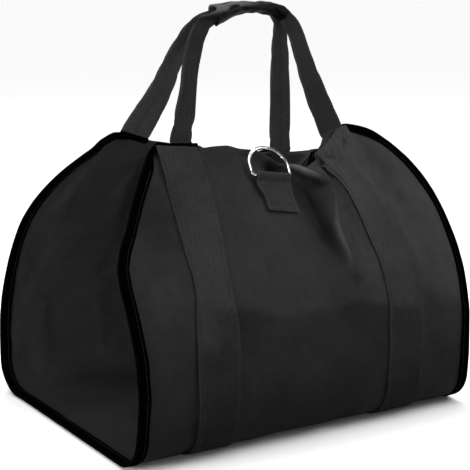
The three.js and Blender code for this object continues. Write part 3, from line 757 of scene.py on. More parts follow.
def make_panel():
    piece, a, b = flat_piece("bag_cloth", len(PANEL_U) - 1, len(PANEL_S) - 1)
    s = PANEL_S[step_at(b, len(PANEL_S) - 1)]
    u = squeezed(PANEL_U[step_at(a, len(PANEL_U) - 1)], s)
    set_flat_map(piece, u, s)
    g = np.abs(s)
    from_strap = np.abs(np.abs(u) - STRAP_AT) - STRAP_HALF
    from_rim = half_width_at(u, s) - np.abs(u)
    free = ramp(from_strap, *LUMPS_FROM_STRAP) * ramp(g, *OFF_FLOOR)
    free *= (1 - ramp(g, *LUMPS_TO_TOP)) * ramp(from_rim, *LUMPS_FROM_RIM)
    lumps = [rise * waves(u, s, size, seed, stretch=stretch) for rise, size, seed, stretch in LUMPS]
    height = free * sum(lumps)
    height += HEM_RISE * ramp(g, HALF_LENGTH - HEM, HEM_RUN)
    s = trimmed(u, s)
    set_points(piece, over(u, s, height))
    # Masks: rubbed top edge, dust with painted top light, painted crest highlight, painted shade, and
    # painted shade inside
    rubbed_edge = RUBBED_EDGE * ramp(g, *RUBBED_EDGE_PART)
    dusty_and_lit = dust_and_top_light(u, s) * np.interp(u, LIGHT_ACROSS_U, LIGHT_ACROSS)
    set_mask(piece, "wear_and_light", np.maximum.reduce([dusty_and_lit, rubbed_edge, crest_highlight(u, s)]))
    set_mask(piece, "shade", painted_shade(u, s))
    set_mask(piece, "inner_shade", INNER_SHADE * ramp(u, *INNER_SHADE_U) * ramp(s, *INNER_SHADE_S))
    flip(piece)
    return finish_sheet(piece, "panel", "cloth", CLOTH, 50, OUTER_CLOTH, INNER_CLOTH)


# Straps
STRAP_THICK = WEBBING - 0.2
STRAP_COLUMNS = 14
STRAP_ROWS = 420
# How far each strap's edges are moved to the left at places s. The right one's front end is cut on a slant,
# and of its back end's length beyond a place only a share is kept
STRAP_EDGES = {
    -1: dict(s=(-519, -500, -480, -460, -440, -420, -400, -380, -360, -340, -320, -300, -260, -220),
             left=(8, 8.8, 9.9, 9.7, 8.5, 6, 3, -0.7, -5, -4.7, -1.4, 0.8, 2, 0),
             right=(2.5, 2.5, 2.5, 2.5, 2.5, 2.5, 2.5, 2.5, 2.5, 2, 1, 0, 0, 0)),
    1: dict(s=(-519, -500, -480, -460, -436, 330, 400, 440), left=(14, 12, 7.6, 2.8, 0, 0, 0, 0),
            right=(0, 0, 0, 0, 0, 0, 9, 14)),
}
SLANT = dict(start=436.0, drop=22.0, right=0.4, across=1.4)
BACK_SHORT = dict(start=440.0, share=0.8)
# How much each strap is lightened at places s: painted light where its top catches the light, and rubbing
STRAP_LIGHTENED = {
    -1: ((-470, -400, -340, -280), (0, 0.12, 0.12, 0)),
    1: ((-519, -440, -400, -340), (0.35, 0.34, 0.12, 0)),
}
STRAP_WAVES = 0.25
STRAP_EDGE_WEAR = 0.25
STRAP_EDGE = (0.86, 0.14)
TAIL_RAMP = (TAIL_FROM - 22.0, 18.0)


def strap_height(g):
    return CLOTH / 2 + GAP + WEBBING / 2 + TAIL_ROOM * ramp(g, *TAIL_RAMP)


# Place on the sheet of a strap's point, a across it and s along it
def strap_place(sign, a, s):
    edges = STRAP_EDGES[sign]
    left = np.interp(s, edges["s"], edges["left"]) * np.clip(-a, 0, 1)
    right = np.interp(s, edges["s"], edges["right"]) * np.clip(a, 0, 1)
    u = sign * STRAP_AT + a * STRAP_HALF - left - right
    if sign < 0:
        return u, trimmed(u, s)
    slanted = ramp(-s, SLANT["start"], STRAP_END - SLANT["start"])
    beyond = np.maximum(0.0, s - BACK_SHORT["start"])
    s = s - beyond * (1 - BACK_SHORT["share"])
    return u, s + SLANT["drop"] * smooth((SLANT["right"] - a) / SLANT["across"]) * slanted


def make_strap(name, sign):
    piece, a, b = flat_piece(name.replace("strap", "strap_webbing"), STRAP_COLUMNS, STRAP_ROWS)
    s = b * STRAP_END
    set_flat_map(piece, a * STRAP_HALF, s)
    u, s = strap_place(sign, a, s)
    g = np.abs(s)
    height = strap_height(g) + ramp(g, *OFF_FLOOR) * STRAP_WAVES * waves(u, s, 45.0, 11, stretch=0.8)
    set_points(piece, over(u, s, height))
    edge = STRAP_EDGE_WEAR * ramp(np.abs(a), *STRAP_EDGE)
    # Painted light and rubbing, dust with painted top light, and painted shade
    lightened = np.where(s < 0, np.interp(s, *STRAP_LIGHTENED[sign]), 0.0)
    set_mask(piece, "wear_and_light", np.maximum(dust_and_top_light(u, s) + lightened, edge))
    set_mask(piece, "shade", painted_shade(u, s))
    flip(piece)
    return finish_sheet(piece, name, "webbing", STRAP_THICK, 45, STRAP_WEB)


# Smooth curve through rows of values at uneven knots
def through(knots, values, at):
    slopes = np.gradient(values, knots, axis=0)
    i = np.clip(np.searchsorted(knots, at, side="right") - 1, 0, len(knots) - 2)
    span = (knots[i + 1] - knots[i])[:, None]
    f = (at - knots[i])[:, None] / span
    a = values[i]
    b = values[i + 1]
    ma = slopes[i] * span
    mb = slopes[i + 1] * span
    square = f * f
    cube = square * f
    return ((2 * cube - 3 * square + 1) * a + (cube - 2 * square + f) * ma
            + (3 * square - 2 * cube) * b + (cube - square) * mb)


# Length run along a line up to each of its points, or the sum of its steps to a power
def run_of(points, power=1.0):
    return np.concatenate([[0.0], np.cumsum(np.linalg.norm(np.diff(points, axis=0), axis=1) ** power)])


# Edge tapes
TAPE_WIDTH = 11.5
TAPE_THICK = 0.9
TAPE_RADIUS = 1.75
TAPE_COLUMNS = 16
TAPE_STEP = 2.6
TAPE_BLUR = 9
TAPE_WAVES = 0.04
TAPE_LEAST = 0.02
# Rubbed fold of the tape: how much, and how far to each side
TAPE_RUBBED = 0.6
TAPE_RUBBED_PART = 0.3
RIM_STEP = 4.0
RIM_ROUND = dict(start=500.0, rows=60)
RIM_TOP_STEP = 2.0
LEFT_TAPE_END = 99.0
RIGHT_TAPE_END = 146.0
OVER_STRAP = dict(start=494.0, run=16.0, lift=3.2, narrow=0.55)


# Rim of one half on the flat sheet as (u, g), from the bottom to its end at the top
def rim_line(side, sign, top_end):
    closer = (HALF_LENGTH - RIM_ROUND["start"]) * np.linspace(1, 0, RIM_ROUND["rows"]) ** 2
    g = np.concatenate([np.arange(0, RIM_ROUND["start"], RIM_STEP), HALF_LENGTH - closer])
    line = np.stack([half_width(g, side, sign), g], axis=1)
    top = np.arange(line[-1, 0] - RIM_TOP_STEP, top_end, -RIM_TOP_STEP)
    return np.vstack([line, np.stack([top, np.full(len(top), HALF_LENGTH)], axis=1)])


def tape_line(sign, top_end):
    front = rim_line("front", sign, top_end)[::-1] * (1, -1)
    back = rim_line("back", sign, top_end)
    line = np.vstack([front, back[1:]])
    run = run_of(line)
    even = np.linspace(0, run[-1], int(run[-1] / TAPE_STEP))
    line = np.stack([np.interp(even, run, line[:, k]) for k in (0, 1)], axis=1)
    return line, even


def make_tape(name, sign, top_end):
    line, run = tape_line(sign, top_end)
    way = np.gradient(line, axis=0)
    blur = np.hanning(TAPE_BLUR) / np.hanning(TAPE_BLUR).sum()
    padded = np.pad(way, ((TAPE_BLUR // 2, TAPE_BLUR // 2), (0, 0)), mode="edge")
    way = unit(np.stack([np.convolve(padded[:, k], blur, mode="valid") for k in (0, 1)], axis=1))
    inward = np.stack([-way[:, 1], way[:, 0]], axis=1)
    piece, a, b = flat_piece(name.replace("binding", "edge_tape"), TAPE_COLUMNS, len(line) - 1)
    at = step_at(b, len(line) - 1)
    rim = line[at]
    fold = TAPE_RADIUS * math.pi / 2
    reach = np.abs(a) * (TAPE_WIDTH + fold)
    turn = np.clip(reach / TAPE_RADIUS, 0, math.pi / 2)
    depth = np.maximum(0.0, reach - fold) * (1 + TAPE_WAVES * waves(run[at], a, 40.0, 21))
    g = np.abs(rim[:, 1])
    on_strap = ramp(g, OVER_STRAP["start"], OVER_STRAP["run"]) if sign < 0 else 0 * g
    lift = np.where(a > 0, OVER_STRAP["lift"] * on_strap, 0.0)
    depth *= 1 - OVER_STRAP["narrow"] * on_strap
    inner = rim + inward[at] * np.maximum(depth, TAPE_LEAST)[:, None]
    u = sign * inner[:, 0]
    s = trimmed(u, np.clip(inner[:, 1], -HALF_LENGTH, HALF_LENGTH))
    height = np.sign(a) * (TAPE_RADIUS * np.sin(turn)) + lift * np.sin(turn)
    points = over(u, s, height)
    edge = sheet(sign * rim[:, 0], trimmed(sign * rim[:, 0], rim[:, 1]))
    flange = rim + inward[at] * TAPE_WIDTH
    held = trimmed(sign * flange[:, 0], np.clip(flange[:, 1], -HALF_LENGTH, HALF_LENGTH))
    beyond = unit(edge - sheet(sign * flange[:, 0], held))
    points += beyond * (TAPE_RADIUS * np.cos(turn))[:, None]
    set_points(piece, points)
    set_flat_map(piece, a * (TAPE_WIDTH + fold), run[at])
    set_mask(piece, "wear_and_light", TAPE_RUBBED * smooth(1 - np.abs(a) / TAPE_RUBBED_PART))
    if sign < 0:
        flip(piece)
    return finish_sheet(piece, name, "tape", TAPE_THICK, 45, EDGE_TAPE)


# Handles: places of each loop from its left foot to its right foot, with the width that shows
HANDLE_HALF = 18.0
HANDLE_THICK = 1.4
HANDLE_COLUMNS = 18
HANDLE_ROWS = 300
HANDLE_LEAST = 7.0
CURL = 0.6
CURL_CLEAR = 0.8
KNOT_POWER = 0.5
TAILS = ((490.0, 0.0), (506.0, 0.0), (520.0, 0.0), (523.0, 0.3))
FOOT_RISE = 8.0
FEET = dict(front=(-119.8, 126.8), back=(-121.5, 123.6))
FOOT_WIDTHS = dict(front=(24.0, 31.5), back=(35.0, 28.5))
FOOT_FLAT = 40.0
FOOT_FOLD = 30.0
HANDLE_EDGE_WEAR = 0.6
HANDLE_EDGE = (0.82, 0.18)
HANDLE_COLUMN_NAMES = ("x", "y", "z", "width")
HANDLE = dict(
    front=[
        (-78.4, -33, 382.4, 21.4), (-69.2, -23, 409.1, 21.2), (-58.4, -14, 432.7, 21.6),
        (-45, -7.5, 453, 19), (-28, -4, 463.4, 14), (3, -3, 471.2, 8.4), (21, -3, 473, 7.4),
        (42, -3, 471.2, 7.6), (65.4, -4, 465.4, 13.4), (77, -7, 453.4, 18), (83.4, -13.5, 436, 20.4),
        (87, -22, 411.3, 22.5), (92, -33, 382.3, 27),
    ],
    back=[
        (-80, 28, 379.3, 29), (-69.6, 16, 413.6, 22.5), (-61, 10, 433, 20), (-48, 6, 453, 15.5),
        (-29, 3.5, 464, 12), (3, 3, 471.2, 8.4), (21, 3, 473, 7.4), (42, 3, 471.2, 7.6),
        (60, 3.5, 465.4, 12), (70.4, 5, 453, 16), (73.2, 8.5, 432, 20), (75.4, 11, 406.9, 23.8),
        (78, 14.5, 369.9, 26.6),
    ],
)


# Middle line of a loop, the way across it, the way it faces and its width, foot to foot
def handle_stations(side):
    sign = SIDES[side]
    left, right = FEET[side]
    rows = [dict(zip(HANDLE_COLUMN_NAMES, values)) for values in HANDLE[side]]
    middle = np.array([(row["x"], row["y"], row["z"]) for row in rows], float)
    way = unit(np.gradient(middle, axis=0))
    across = unit(np.cross(way, np.tile((0.0, sign, 0.0), (len(rows), 1))))
    width = np.array([row["width"] for row in rows], float)
    height = CLOTH / 2 + GAP + WEBBING / 2

    def foot(u, turn, shown, toward):
        g = np.array([place for place, lift in TAILS])
        lift = np.array([lift for place, lift in TAILS])
        uu = np.full(len(g), u)
        line = over(uu, sign * g, height + lift)
        side_way = unit(over(uu + turn * 5, sign * g, height) - over(uu - turn * 5, sign * g, height))
        line = np.vstack([line, line[-1] + unit(toward - line[-1:]) * FOOT_RISE])
        side_way = np.vstack([side_way, side_way[-1]])
        return line, side_way, np.full(len(line), shown)

    first = foot(left, -sign, FOOT_WIDTHS[side][0], middle[0])
    last = [part[::-1] for part in foot(right, sign, FOOT_WIDTHS[side][1], middle[-1])]
    return [np.concatenate([p, q, r]) for p, q, r in zip(first, (middle, across, width), last)]


# Section of a webbing that folds its edges back behind it: offsets across and behind at each place
def curled(flat, half):
    beyond = np.maximum(0.0, np.abs(flat) - half)
    bend = CURL * math.pi
    angle = np.clip(beyond / CURL, 0, math.pi)
    side = half + CURL * np.sin(angle) - np.maximum(0.0, beyond - bend)
    side = np.where(beyond > 0, np.maximum(side, -half + CURL_CLEAR), np.abs(flat))
    return np.sign(flat) * side, CURL * (1 - np.cos(angle))


def make_handle(side):
    middle, across, width = handle_stations(side)
    knots = run_of(middle, KNOT_POWER)
    even = np.linspace(0, knots[-1], 4 * HANDLE_ROWS)
    run = run_of(through(knots, middle, even))
    at_run = np.linspace(0, run[-1], HANDLE_ROWS + 1)
    at = np.interp(at_run, run, even)
    line = through(knots, middle, at)
    way = unit(np.gradient(line, axis=0))
    side_way = through(knots, across, at)
    side_way = unit(side_way - way * np.sum(side_way * way, axis=1)[:, None])
    behind = np.cross(way, side_way)
    behind = unit(behind * np.sign(behind[len(behind) // 4, 1]))
    shown = np.clip(through(knots, width[:, None], at)[:, 0], HANDLE_LEAST, 2 * HANDLE_HALF)
    piece, a, b = flat_piece("handle_webbing_" + side, HANDLE_COLUMNS, HANDLE_ROWS)
    row = step_at(b, HANDLE_ROWS)
    offset, depth = curled(a * HANDLE_HALF, shown[row] / 2)
    fold = ramp(np.minimum(at_run, at_run[-1] - at_run)[row], FOOT_FLAT, FOOT_FOLD)
    offset = offset * fold + a * shown[row] / 2 * (1 - fold)
    depth = depth * fold
    points = line[row] + side_way[row] * offset[:, None] + behind[row] * depth[:, None]
    set_points(piece, points)
    set_flat_map(piece, a * HANDLE_HALF, at_run[row])
    set_mask(piece, "wear_and_light", HANDLE_EDGE_WEAR * ramp(np.abs(offset) / (shown[row] / 2), *HANDLE_EDGE))
    return finish_sheet(piece, "handle_" + side, "webbing", HANDLE_THICK, 50, HANDLE_WEB, HANDLE_INSIDE_LIT)


# Grip wrap: sections (x, z, over, under, depth) along its arch, with half heights over and under the line
WRAP_ROWS = [
    (-24, 465.2, 13, 13, 12), (-10, 468.3, 11.4, 10, 12), (10, 472.6, 8, 7.8, 12),
    (21, 473.2, 6.8, 7.2, 12), (32, 472.7, 6.4, 7, 12), (42, 471.2, 6.8, 7, 12),
    (53, 468.6, 7.8, 7.2, 12), (61, 466, 8.6, 7.6, 12), (69, 461.5, 9.4, 7.6, 12.4),
]
WRAP_ROUND = 0.85
WRAP_WALL = 1.5
WRAP_AROUND = 72
WRAP_ALONG = 96
WRAP_PINCH = 0.4
# Radius that turns angles round the wrap into lengths, the flare of its ends and its small waves
WRAP_RADIUS = 11.0
WRAP_FLARE = dict(run=5.0, part=0.02)
WRAP_WAVES = 0.3
# Painted highlight on the top of its left part and on its ridges, painted shade in its creases, and a
# darker right part, with starts and runs
WRAP_TOP_HIGHLIGHT = 0.7
WRAP_LEFT = dict(end=64.0, run=40.0)
WRAP_TOP = (0.1, 0.5)
WRAP_RIDGE_HIGHLIGHT = 0.22
WRAP_CREASE_SHADE = 0.95
WRAP_DARK = 0.8
WRAP_RIGHT = (50.0, 24.0)
WRAP_DEEP = 1.2

# Loose corner of the wrap at its left end: where round the front, its width, length, root and lift
LOOSE_CORNER = dict(front=14.0, wide=11.0, long=30.0, root=7.0, lift=3.0)

# Creases of the wrap: a line from (along, angle) to (along, angle), its rise and its width
CREASES = [
    (2, 150, 30, 50, -1.2, 2.6), (10, 120, 44, 10, 1.2, 3.0), (18, 40, 46, -20, -1.3, 2.6),
    (4, 100, 50, 82, -1.8, 1.6), (0, 55, 38, 92, -1.6, 1.5), (8, 10, 36, 45, -1.3, 1.8),
    (50, 140, 70, 10, -2.2, 2.2), (58, 150, 82, 20, 1.7, 2.0), (66, 160, 92, 40, -2.3, 2.0),
    (76, 130, 100, 10, 1.8, 2.0), (84, 170, 106, 60, -2.2, 2.0), (92, 130, 112, 20, 1.6, 1.8),
    (102, 150, 118, 70, -1.8, 1.8), (100, 50, 116, -20, -1.6, 2.0), (72, 20, 96, -40, -1.6, 2.2),
]


def make_wrap():
    rows = np.array(WRAP_ROWS, float)
    spots = run_of(rows[:, :2])
    piece, a, b = flat_piece("grip_wrap_pad", WRAP_AROUND, WRAP_ALONG)
    along = (b + 1) / 2 * spots[-1]
    values = through(spots, rows, along)
    ahead = through(spots, rows[:, :2], np.clip(along + 0.5, 0, spots[-1]))
    behind = through(spots, rows[:, :2], np.clip(along - 0.5, 0, spots[-1]))
    way = unit(ahead - behind)
    angle = a * math.pi - math.pi / 2
    c = np.cos(angle)
    sn = np.sin(angle)
    side = np.sign(c) * np.abs(c) ** WRAP_ROUND
    rise = np.sign(sn) * np.abs(sn) ** WRAP_ROUND
    ends = np.maximum(1 - along / WRAP_FLARE["run"], 1 - (spots[-1] - along) / WRAP_FLARE["run"])
    flare = 1 + WRAP_FLARE["part"] * smooth(ends)
    height = np.where(sn > 0, values[:, 2], values[:, 3]) * flare
    depth = values[:, 4] * flare * (1 - WRAP_PINCH * smooth(-sn))
    relief = WRAP_WAVES * waves(along, angle * WRAP_RADIUS, 16.0, 31)
    front = np.degrees(np.arctan2(rise, -side))
    here = np.radians(front) * WRAP_RADIUS
    for x0, d0, x1, d1, lift, wide in CREASES:
        f, off = to_line(along, here, x0, np.radians(d0) * WRAP_RADIUS, x1, np.radians(d1) * WRAP_RADIUS)
        relief += lift * np.exp(-(off / wide) ** 2) * np.sin(math.pi * np.clip(f, 0.08, 0.92))
    x = values[:, 0] - way[:, 1] * rise * (height + relief)
    z = values[:, 1] + way[:, 0] * rise * (height + relief)
    y = side * (depth + relief)
    loose = smooth(1 - along / LOOSE_CORNER["root"])
    loose = loose * np.exp(-((front - LOOSE_CORNER["front"]) / LOOSE_CORNER["wide"]) ** 2)
    x = x - way[:, 0] * loose * LOOSE_CORNER["long"]
    y = y - loose * LOOSE_CORNER["lift"]
    z = z - way[:, 1] * loose * LOOSE_CORNER["long"] + loose * LOOSE_CORNER["lift"]
    set_points(piece, np.stack([x, y, z], axis=1))
    set_flat_map(piece, angle * WRAP_RADIUS, along)
    # Painted highlight on the top and ridges, painted shade in the creases, darker towards the right
    lightened = WRAP_TOP_HIGHLIGHT * smooth((WRAP_LEFT["end"] - along) / WRAP_LEFT["run"]) * ramp(rise, *WRAP_TOP)
    set_mask(piece, "wear_and_light", np.maximum(lightened, WRAP_RIDGE_HIGHLIGHT * smooth(relief / WRAP_DEEP)))
    dark = WRAP_DARK * ramp(along, *WRAP_RIGHT)
    set_mask(piece, "shade", np.maximum(WRAP_CREASE_SHADE * smooth(-relief / WRAP_DEEP), dark))
    with editing(piece):
        bpy.ops.mesh.remove_doubles(threshold=1e-6)
        bpy.ops.mesh.normals_make_consistent(inside=False)
    thicken(piece, WRAP_WALL, offset=-1.0)
    smooth_shade(piece, 60)
    dress(piece, "bag", "wrap", WRAP)
    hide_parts("grip_wrap")


# D-ring and its tab
TAB = dict(u=-9.5, half=21.0, bottom=421.5, top=462.5, slant=-0.18)
TAB_STRAIGHT = (438.0, 14.0)
TAB_PLY = 0.2
TAB_THICK = WEBBING - 0.3
TAB_WEAR = 0.3
# Rubbed edges of the tab: how much and where, then its rubbed lower end
TAB_EDGE_WEAR = 0.4
TAB_EDGE = (0.9, 0.1)
TAB_END_WEAR = 0.3
TAB_END = 1.5
TAB_COLUMNS = 18
TAB_ROWS = 120
# Points along each ply of the tab and round its loop, and the loop's first and last angle in half turns
TAB_PLY_POINTS = 12
TAB_LOOP = (-0.56, 0.8, 16)
RING_WIRE = 2.2
RING_HALF = 24.5
RING_CORNER = 4.5
RING_LEG = 9.0
RING_CLEARANCE = 0.6
RING_LEAN = 0.02
RING_SLIDE = -2.0
RING_SIDES = 20
CORNER_STEPS = 12
ARC_STEPS = 56
LOOP_INNER = RING_WIRE + RING_CLEARANCE
LOOP_OUTER = LOOP_INNER + WEBBING
BAR_HEIGHT = CLOTH / 2 + 2 * GAP + LOOP_OUTER


# The ring's straight bar: its middle, the way out of the cloth, along the bar and up the cloth
def bar_frame():
    hinge = next(joint for joint in frame["joints"] if joint["name"] == "ring_swing")
    at = np.array(hinge["pos_m"]) / MM
    along = unit(np.array([hinge["axis"]], float))[0]
    level = np.array([0.0, along[2], -along[1]])
    out = unit(np.array([level * np.sign(level[2])]))[0]
    return at, out, along, np.cross(out, along)


# Path of the tab's strip round the bar, as places along the sheet and heights over it
def tab_path():
    low = CLOTH / 2 + 2 * GAP + WEBBING / 2
    high = low + WEBBING + TAB_PLY
    middle = LOOP_INNER + WEBBING / 2
    neck = TAB["top"] - LOOP_OUTER - 2
    up = np.linspace(TAB["bottom"] + 1, neck, TAB_PLY_POINTS)
    lower = np.stack([up, np.full(TAB_PLY_POINTS, low)], axis=1)
    angle = np.pi * np.linspace(*TAB_LOOP)
    loop = np.stack([TAB["top"] + middle * np.cos(angle), BAR_HEIGHT + middle * np.sin(angle)], axis=1)
    upper = np.stack([up[::-1], np.full(TAB_PLY_POINTS, high)], axis=1)
    turn = np.array([(TAB["bottom"] + 0.1, high - 0.5), (TAB["bottom"] - 0.2, (low + high) / 2)])
    return np.vstack([lower, loop, upper, turn])


def tab_points(du, g, height):
    at, out, along, up = bar_frame()
    place = np.minimum(g, TAB["top"]) + du * math.sin(TAB["slant"])
    laid = over(TAB["u"] + du * math.cos(TAB["slant"]), -place, height)
    rigid = at + du[:, None] * along + (g - TAB["top"])[:, None] * up + (height - BAR_HEIGHT)[:, None] * out
    mix = ramp(g, *TAB_STRAIGHT)[:, None]
    return laid * (1 - mix) + rigid * mix


def make_tab():
    path = tab_path()
    run = run_of(path)
    knots = np.linspace(0, run[-1], TAB_ROWS + 1)
    even = through(run, path, knots)
    piece, a, b = flat_piece("ring_tab", TAB_COLUMNS, TAB_ROWS)
    row = step_at(b, TAB_ROWS)
    set_points(piece, tab_points(a * TAB["half"], even[row, 0], even[row, 1]))
    set_flat_map(piece, a * TAB["half"], knots[row])
    near_end = smooth(1 - (even[row, 0] - TAB["bottom"]) / TAB_END)
    edges = TAB_EDGE_WEAR * ramp(np.abs(a), *TAB_EDGE) + TAB_END_WEAR * near_end
    set_mask(piece, "wear_and_light", TAB_WEAR + edges)
    finish_sheet(piece, "d_ring_tab", "webbing", TAB_THICK, 50, STRAP_WEB)


# Ring bent from one round wire: half bar, corner, leg, arc, leg, corner and half bar, then set in its tab
def make_ring():
    def draw(x, y):
        bpy.ops.mesh.extrude_region_move(TRANSFORM_OT_translate={"value": (x, y, 0)})

    def bend(steps, angle, x, y):
        bpy.ops.mesh.spin(steps=steps, angle=angle, center=(x, y, 0), axis=(0, 0, -1))

    flat = RING_HALF - RING_CORNER
    bpy.ops.object.select_all(action="DESELECT")
    bpy.ops.mesh.primitive_circle_add(
        vertices=RING_SIDES, radius=RING_WIRE, location=(0, 0, 0), rotation=(0, math.pi / 2, 0))
    piece = bpy.context.object
    piece.name = "d_ring_wire"
    bpy.ops.object.transform_apply(location=True, rotation=True, scale=True)
    with editing(piece):
        draw(flat, 0)
        bend(CORNER_STEPS, math.pi / 2, flat, RING_CORNER)
        draw(0, RING_LEG)
        bend(ARC_STEPS, math.pi, 0, RING_CORNER + RING_LEG)
        draw(0, -RING_LEG)
        bend(CORNER_STEPS, math.pi / 2, -flat, RING_CORNER)
        draw(flat, 0)
        bpy.ops.mesh.select_all(action="SELECT")
        bpy.ops.mesh.remove_doubles(threshold=0.01)
        bpy.ops.mesh.normals_make_consistent(inside=False)
    at, out, along, up = bar_frame()
    lean = Matrix.Rotation(-RING_LEAN, 3, Vector(along))
    up = lean @ Vector(up)
    along = Vector(along)
    out = along.cross(up)
    place = Matrix((along, up, out)).transposed().to_4x4()
    place.translation = Vector(at) + along * RING_SLIDE
    piece.data.transform(Matrix.Scale(MM, 4) @ place)
    smooth_shade(piece, 60)
    dress(piece, "ring", "metal", METAL)
    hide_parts("d_ring")


# Stitches: one thread float is modelled, then copied along each seam
STITCH_SIDES = 6
STITCH_RINGS = 5


def stitch_shape():
    bpy.ops.object.select_all(action="DESELECT")
    bpy.ops.mesh.primitive_uv_sphere_add(segments=STITCH_SIDES, ring_count=STITCH_RINGS, radius=1.0)
    model = bpy.context.object
    with editing(model):
        bpy.ops.transform.rotate(value=math.pi / 2, orient_axis="Y", center_override=(0, 0, 0))
    points = np.array([v.co for v in model.data.vertices])
    faces = [list(f.vertices) for f in model.data.polygons]
    bpy.data.objects.remove(model)
    return points, faces


STITCH_POINTS, STITCH_FACES = stitch_shape()


# A seam's thread floats, from groups of their middles, the ways they run and the ways out of the cloth
def make_stitches(name, slot, material, groups, size):
    middle, way, out = [np.vstack(parts) for parts in zip(*groups)]
    way = unit(way)
    out = unit(out - way * np.sum(out * way, axis=1)[:, None])
    side = np.cross(out, way)
    count = len(STITCH_POINTS)
    long, wide, tall = size
    points = (middle[:, None, :]
              + STITCH_POINTS[None, :, 0:1] * (long / 2) * way[:, None, :]
              + STITCH_POINTS[None, :, 1:2] * (wide / 2) * side[:, None, :]
              + STITCH_POINTS[None, :, 2:3] * (tall / 2) * out[:, None, :])
    faces = [[k + i * count for k in face] for i in range(len(middle)) for face in STITCH_FACES]
    mesh = bpy.data.meshes.new(name)
    mesh.from_pydata((points.reshape(-1, 3) * MM).tolist(), [], faces)
    piece = bpy.data.objects.new(name, mesh)
    bpy.context.scene.collection.objects.link(piece)
    smooth_shade(piece, 80)
    dress(piece, "bag", slot, material)


# Length, width and height of one thread float in each kind of seam
STRAP_STITCH = (4.0, 0.75, 0.7)
TAB_STITCH = (5.0, 0.9, 0.8)
TAPE_STITCH = (2.8, 0.6, 0.5)
HEM_STITCH = (2.6, 0.5, 0.45)
# How far a seam starts and stops short of its ends, and how far its thread lies from the face
SEAM_START = 4.0
SEAM_STOP = 3.0
SEAM_SINK = 0.05
STITCH_PITCH = 3.6
STITCH_INSET = 4.2
STITCHED_TO = 468.0
STITCHED_FROM = 140.0
ZIGZAG = 1.6


# Two zigzag seams down each strap
def stitch_straps():
    groups = []
    for sign in (-1, 1):
        for edge in (-1, 1):
            s = np.arange(-STRAP_END + SEAM_START, STRAP_END - SEAM_STOP, STITCH_PITCH)
            u, s = strap_place(sign, np.full(len(s), edge * (1 - STITCH_INSET / STRAP_HALF)), s)
            swing = ZIGZAG * np.where(np.arange(len(s)) % 2 == 0, 1.0, -1.0)
            height = strap_height(np.abs(s)) + WEBBING / 2 - SEAM_SINK
            a = over(u - swing, s - STITCH_PITCH / 2, height)
            b = over(u + swing, s + STITCH_PITCH / 2, height)
            keep = (np.abs(s) > STITCHED_FROM) & ((s > -STITCHED_TO) | (sign < 0))
            groups.append(((a + b)[keep] / 2, (b - a)[keep], facing(sheet, u, s)[keep]))
    make_stitches("strap_stitches", "webbing", SEAM_THREAD, groups, STRAP_STITCH)


TAB_ROWS_OF_STITCHES = (450.0, 430.0)
TAB_TICK = 4.4
TAB_TICK_PITCH = 3.4
TAB_TICK_REACH = 14.0
TAB_TICK_LEAN = 0.9


# Two rows of upright ticks across the tab
def stitch_tab():
    du = np.arange(-TAB_TICK_REACH, TAB_TICK_REACH + 0.1, TAB_TICK_PITCH)
    high = np.full(len(du), CLOTH / 2 + 2 * GAP + 2 * WEBBING + TAB_PLY - 2 * SEAM_SINK)
    out = np.tile(bar_frame()[1], (len(du), 1))
    groups = []
    for g in TAB_ROWS_OF_STITCHES:
        a = tab_points(du - TAB_TICK_LEAN, np.full(len(du), g - TAB_TICK / 2), high)
        b = tab_points(du + TAB_TICK_LEAN, np.full(len(du), g + TAB_TICK / 2), high)
        groups.append(((a + b) / 2, b - a, out))
    make_stitches("tab_stitches", "webbing", TAB_THREAD, groups, TAB_STITCH)


TAPE_PITCH = 3.6
TAPE_SEAM = 8.0
TAPE_SEAM_END = 490.0
TAPE_SEAM_CLEAR = 6.0


# One straight seam along each tape, through both of its flanges
def stitch_tapes():
    groups = []
    for sign, top_end in ((-1, LEFT_TAPE_END), (1, RIGHT_TAPE_END)):
        line, run = tape_line(sign, top_end)
        at = np.arange(TAPE_SEAM_CLEAR, run[-1] - TAPE_SEAM_CLEAR, TAPE_PITCH)
        rim = np.stack([np.interp(at, run, line[:, k]) for k in (0, 1)], axis=1)
        way = unit(np.gradient(rim, axis=0))
        seam = rim + np.stack([-way[:, 1], way[:, 0]], axis=1) * TAPE_SEAM
        seam = seam[(np.abs(seam[:, 1]) < TAPE_SEAM_END) & (seam[:, 0] > STRAP_AT + STRAP_HALF)]
        u = sign * seam[:, 0]
        s = seam[:, 1]
        for face in (-1, 1):
            place = over(u, s, face * (TAPE_RADIUS + TAPE_THICK / 2))
            keep = (np.abs(s) > STITCHED_FROM) | (face < 0)
            out = face * facing(sheet, u, s)
            groups.append((place[keep], np.gradient(place, axis=0)[keep], out[keep]))
    make_stitches("tape_stitches", "tape", TAPE_THREAD, groups, TAPE_STITCH)


HEM_PITCH = 3.4


# Seam of the top hems between the straps
def stitch_hems():
    groups = []
    for sign in (-1.0, 1.0):
        u = np.arange(-STRAP_AT + STRAP_HALF + SEAM_START, STRAP_AT - STRAP_HALF - SEAM_STOP, HEM_PITCH)
        s = trimmed(u, np.full(len(u), sign * (HALF_LENGTH - HEM + HEM_RUN)))
        for face in (-1, 1):
            place = over(u, s, face * (CLOTH / 2 + SEAM_SINK) + HEM_RISE)
            groups.append((place, np.gradient(place, axis=0), face * facing(sheet, u, s)))
    make_stitches("hem_stitches", "cloth", SEAM_THREAD, groups, HEM_STITCH)


# Camera, floor and light
CAMERA = dict(azimuth=0.5573334, elevation=0.1984006, distance=1.785573, target_z=0.25,
              focal_px=1496.372, centre_x=231.845, centre_y=195.557, picture=470.0, sensor=36.0)
FLOOR_SIZE = 60.0
FLOOR_DROP = 0.0006


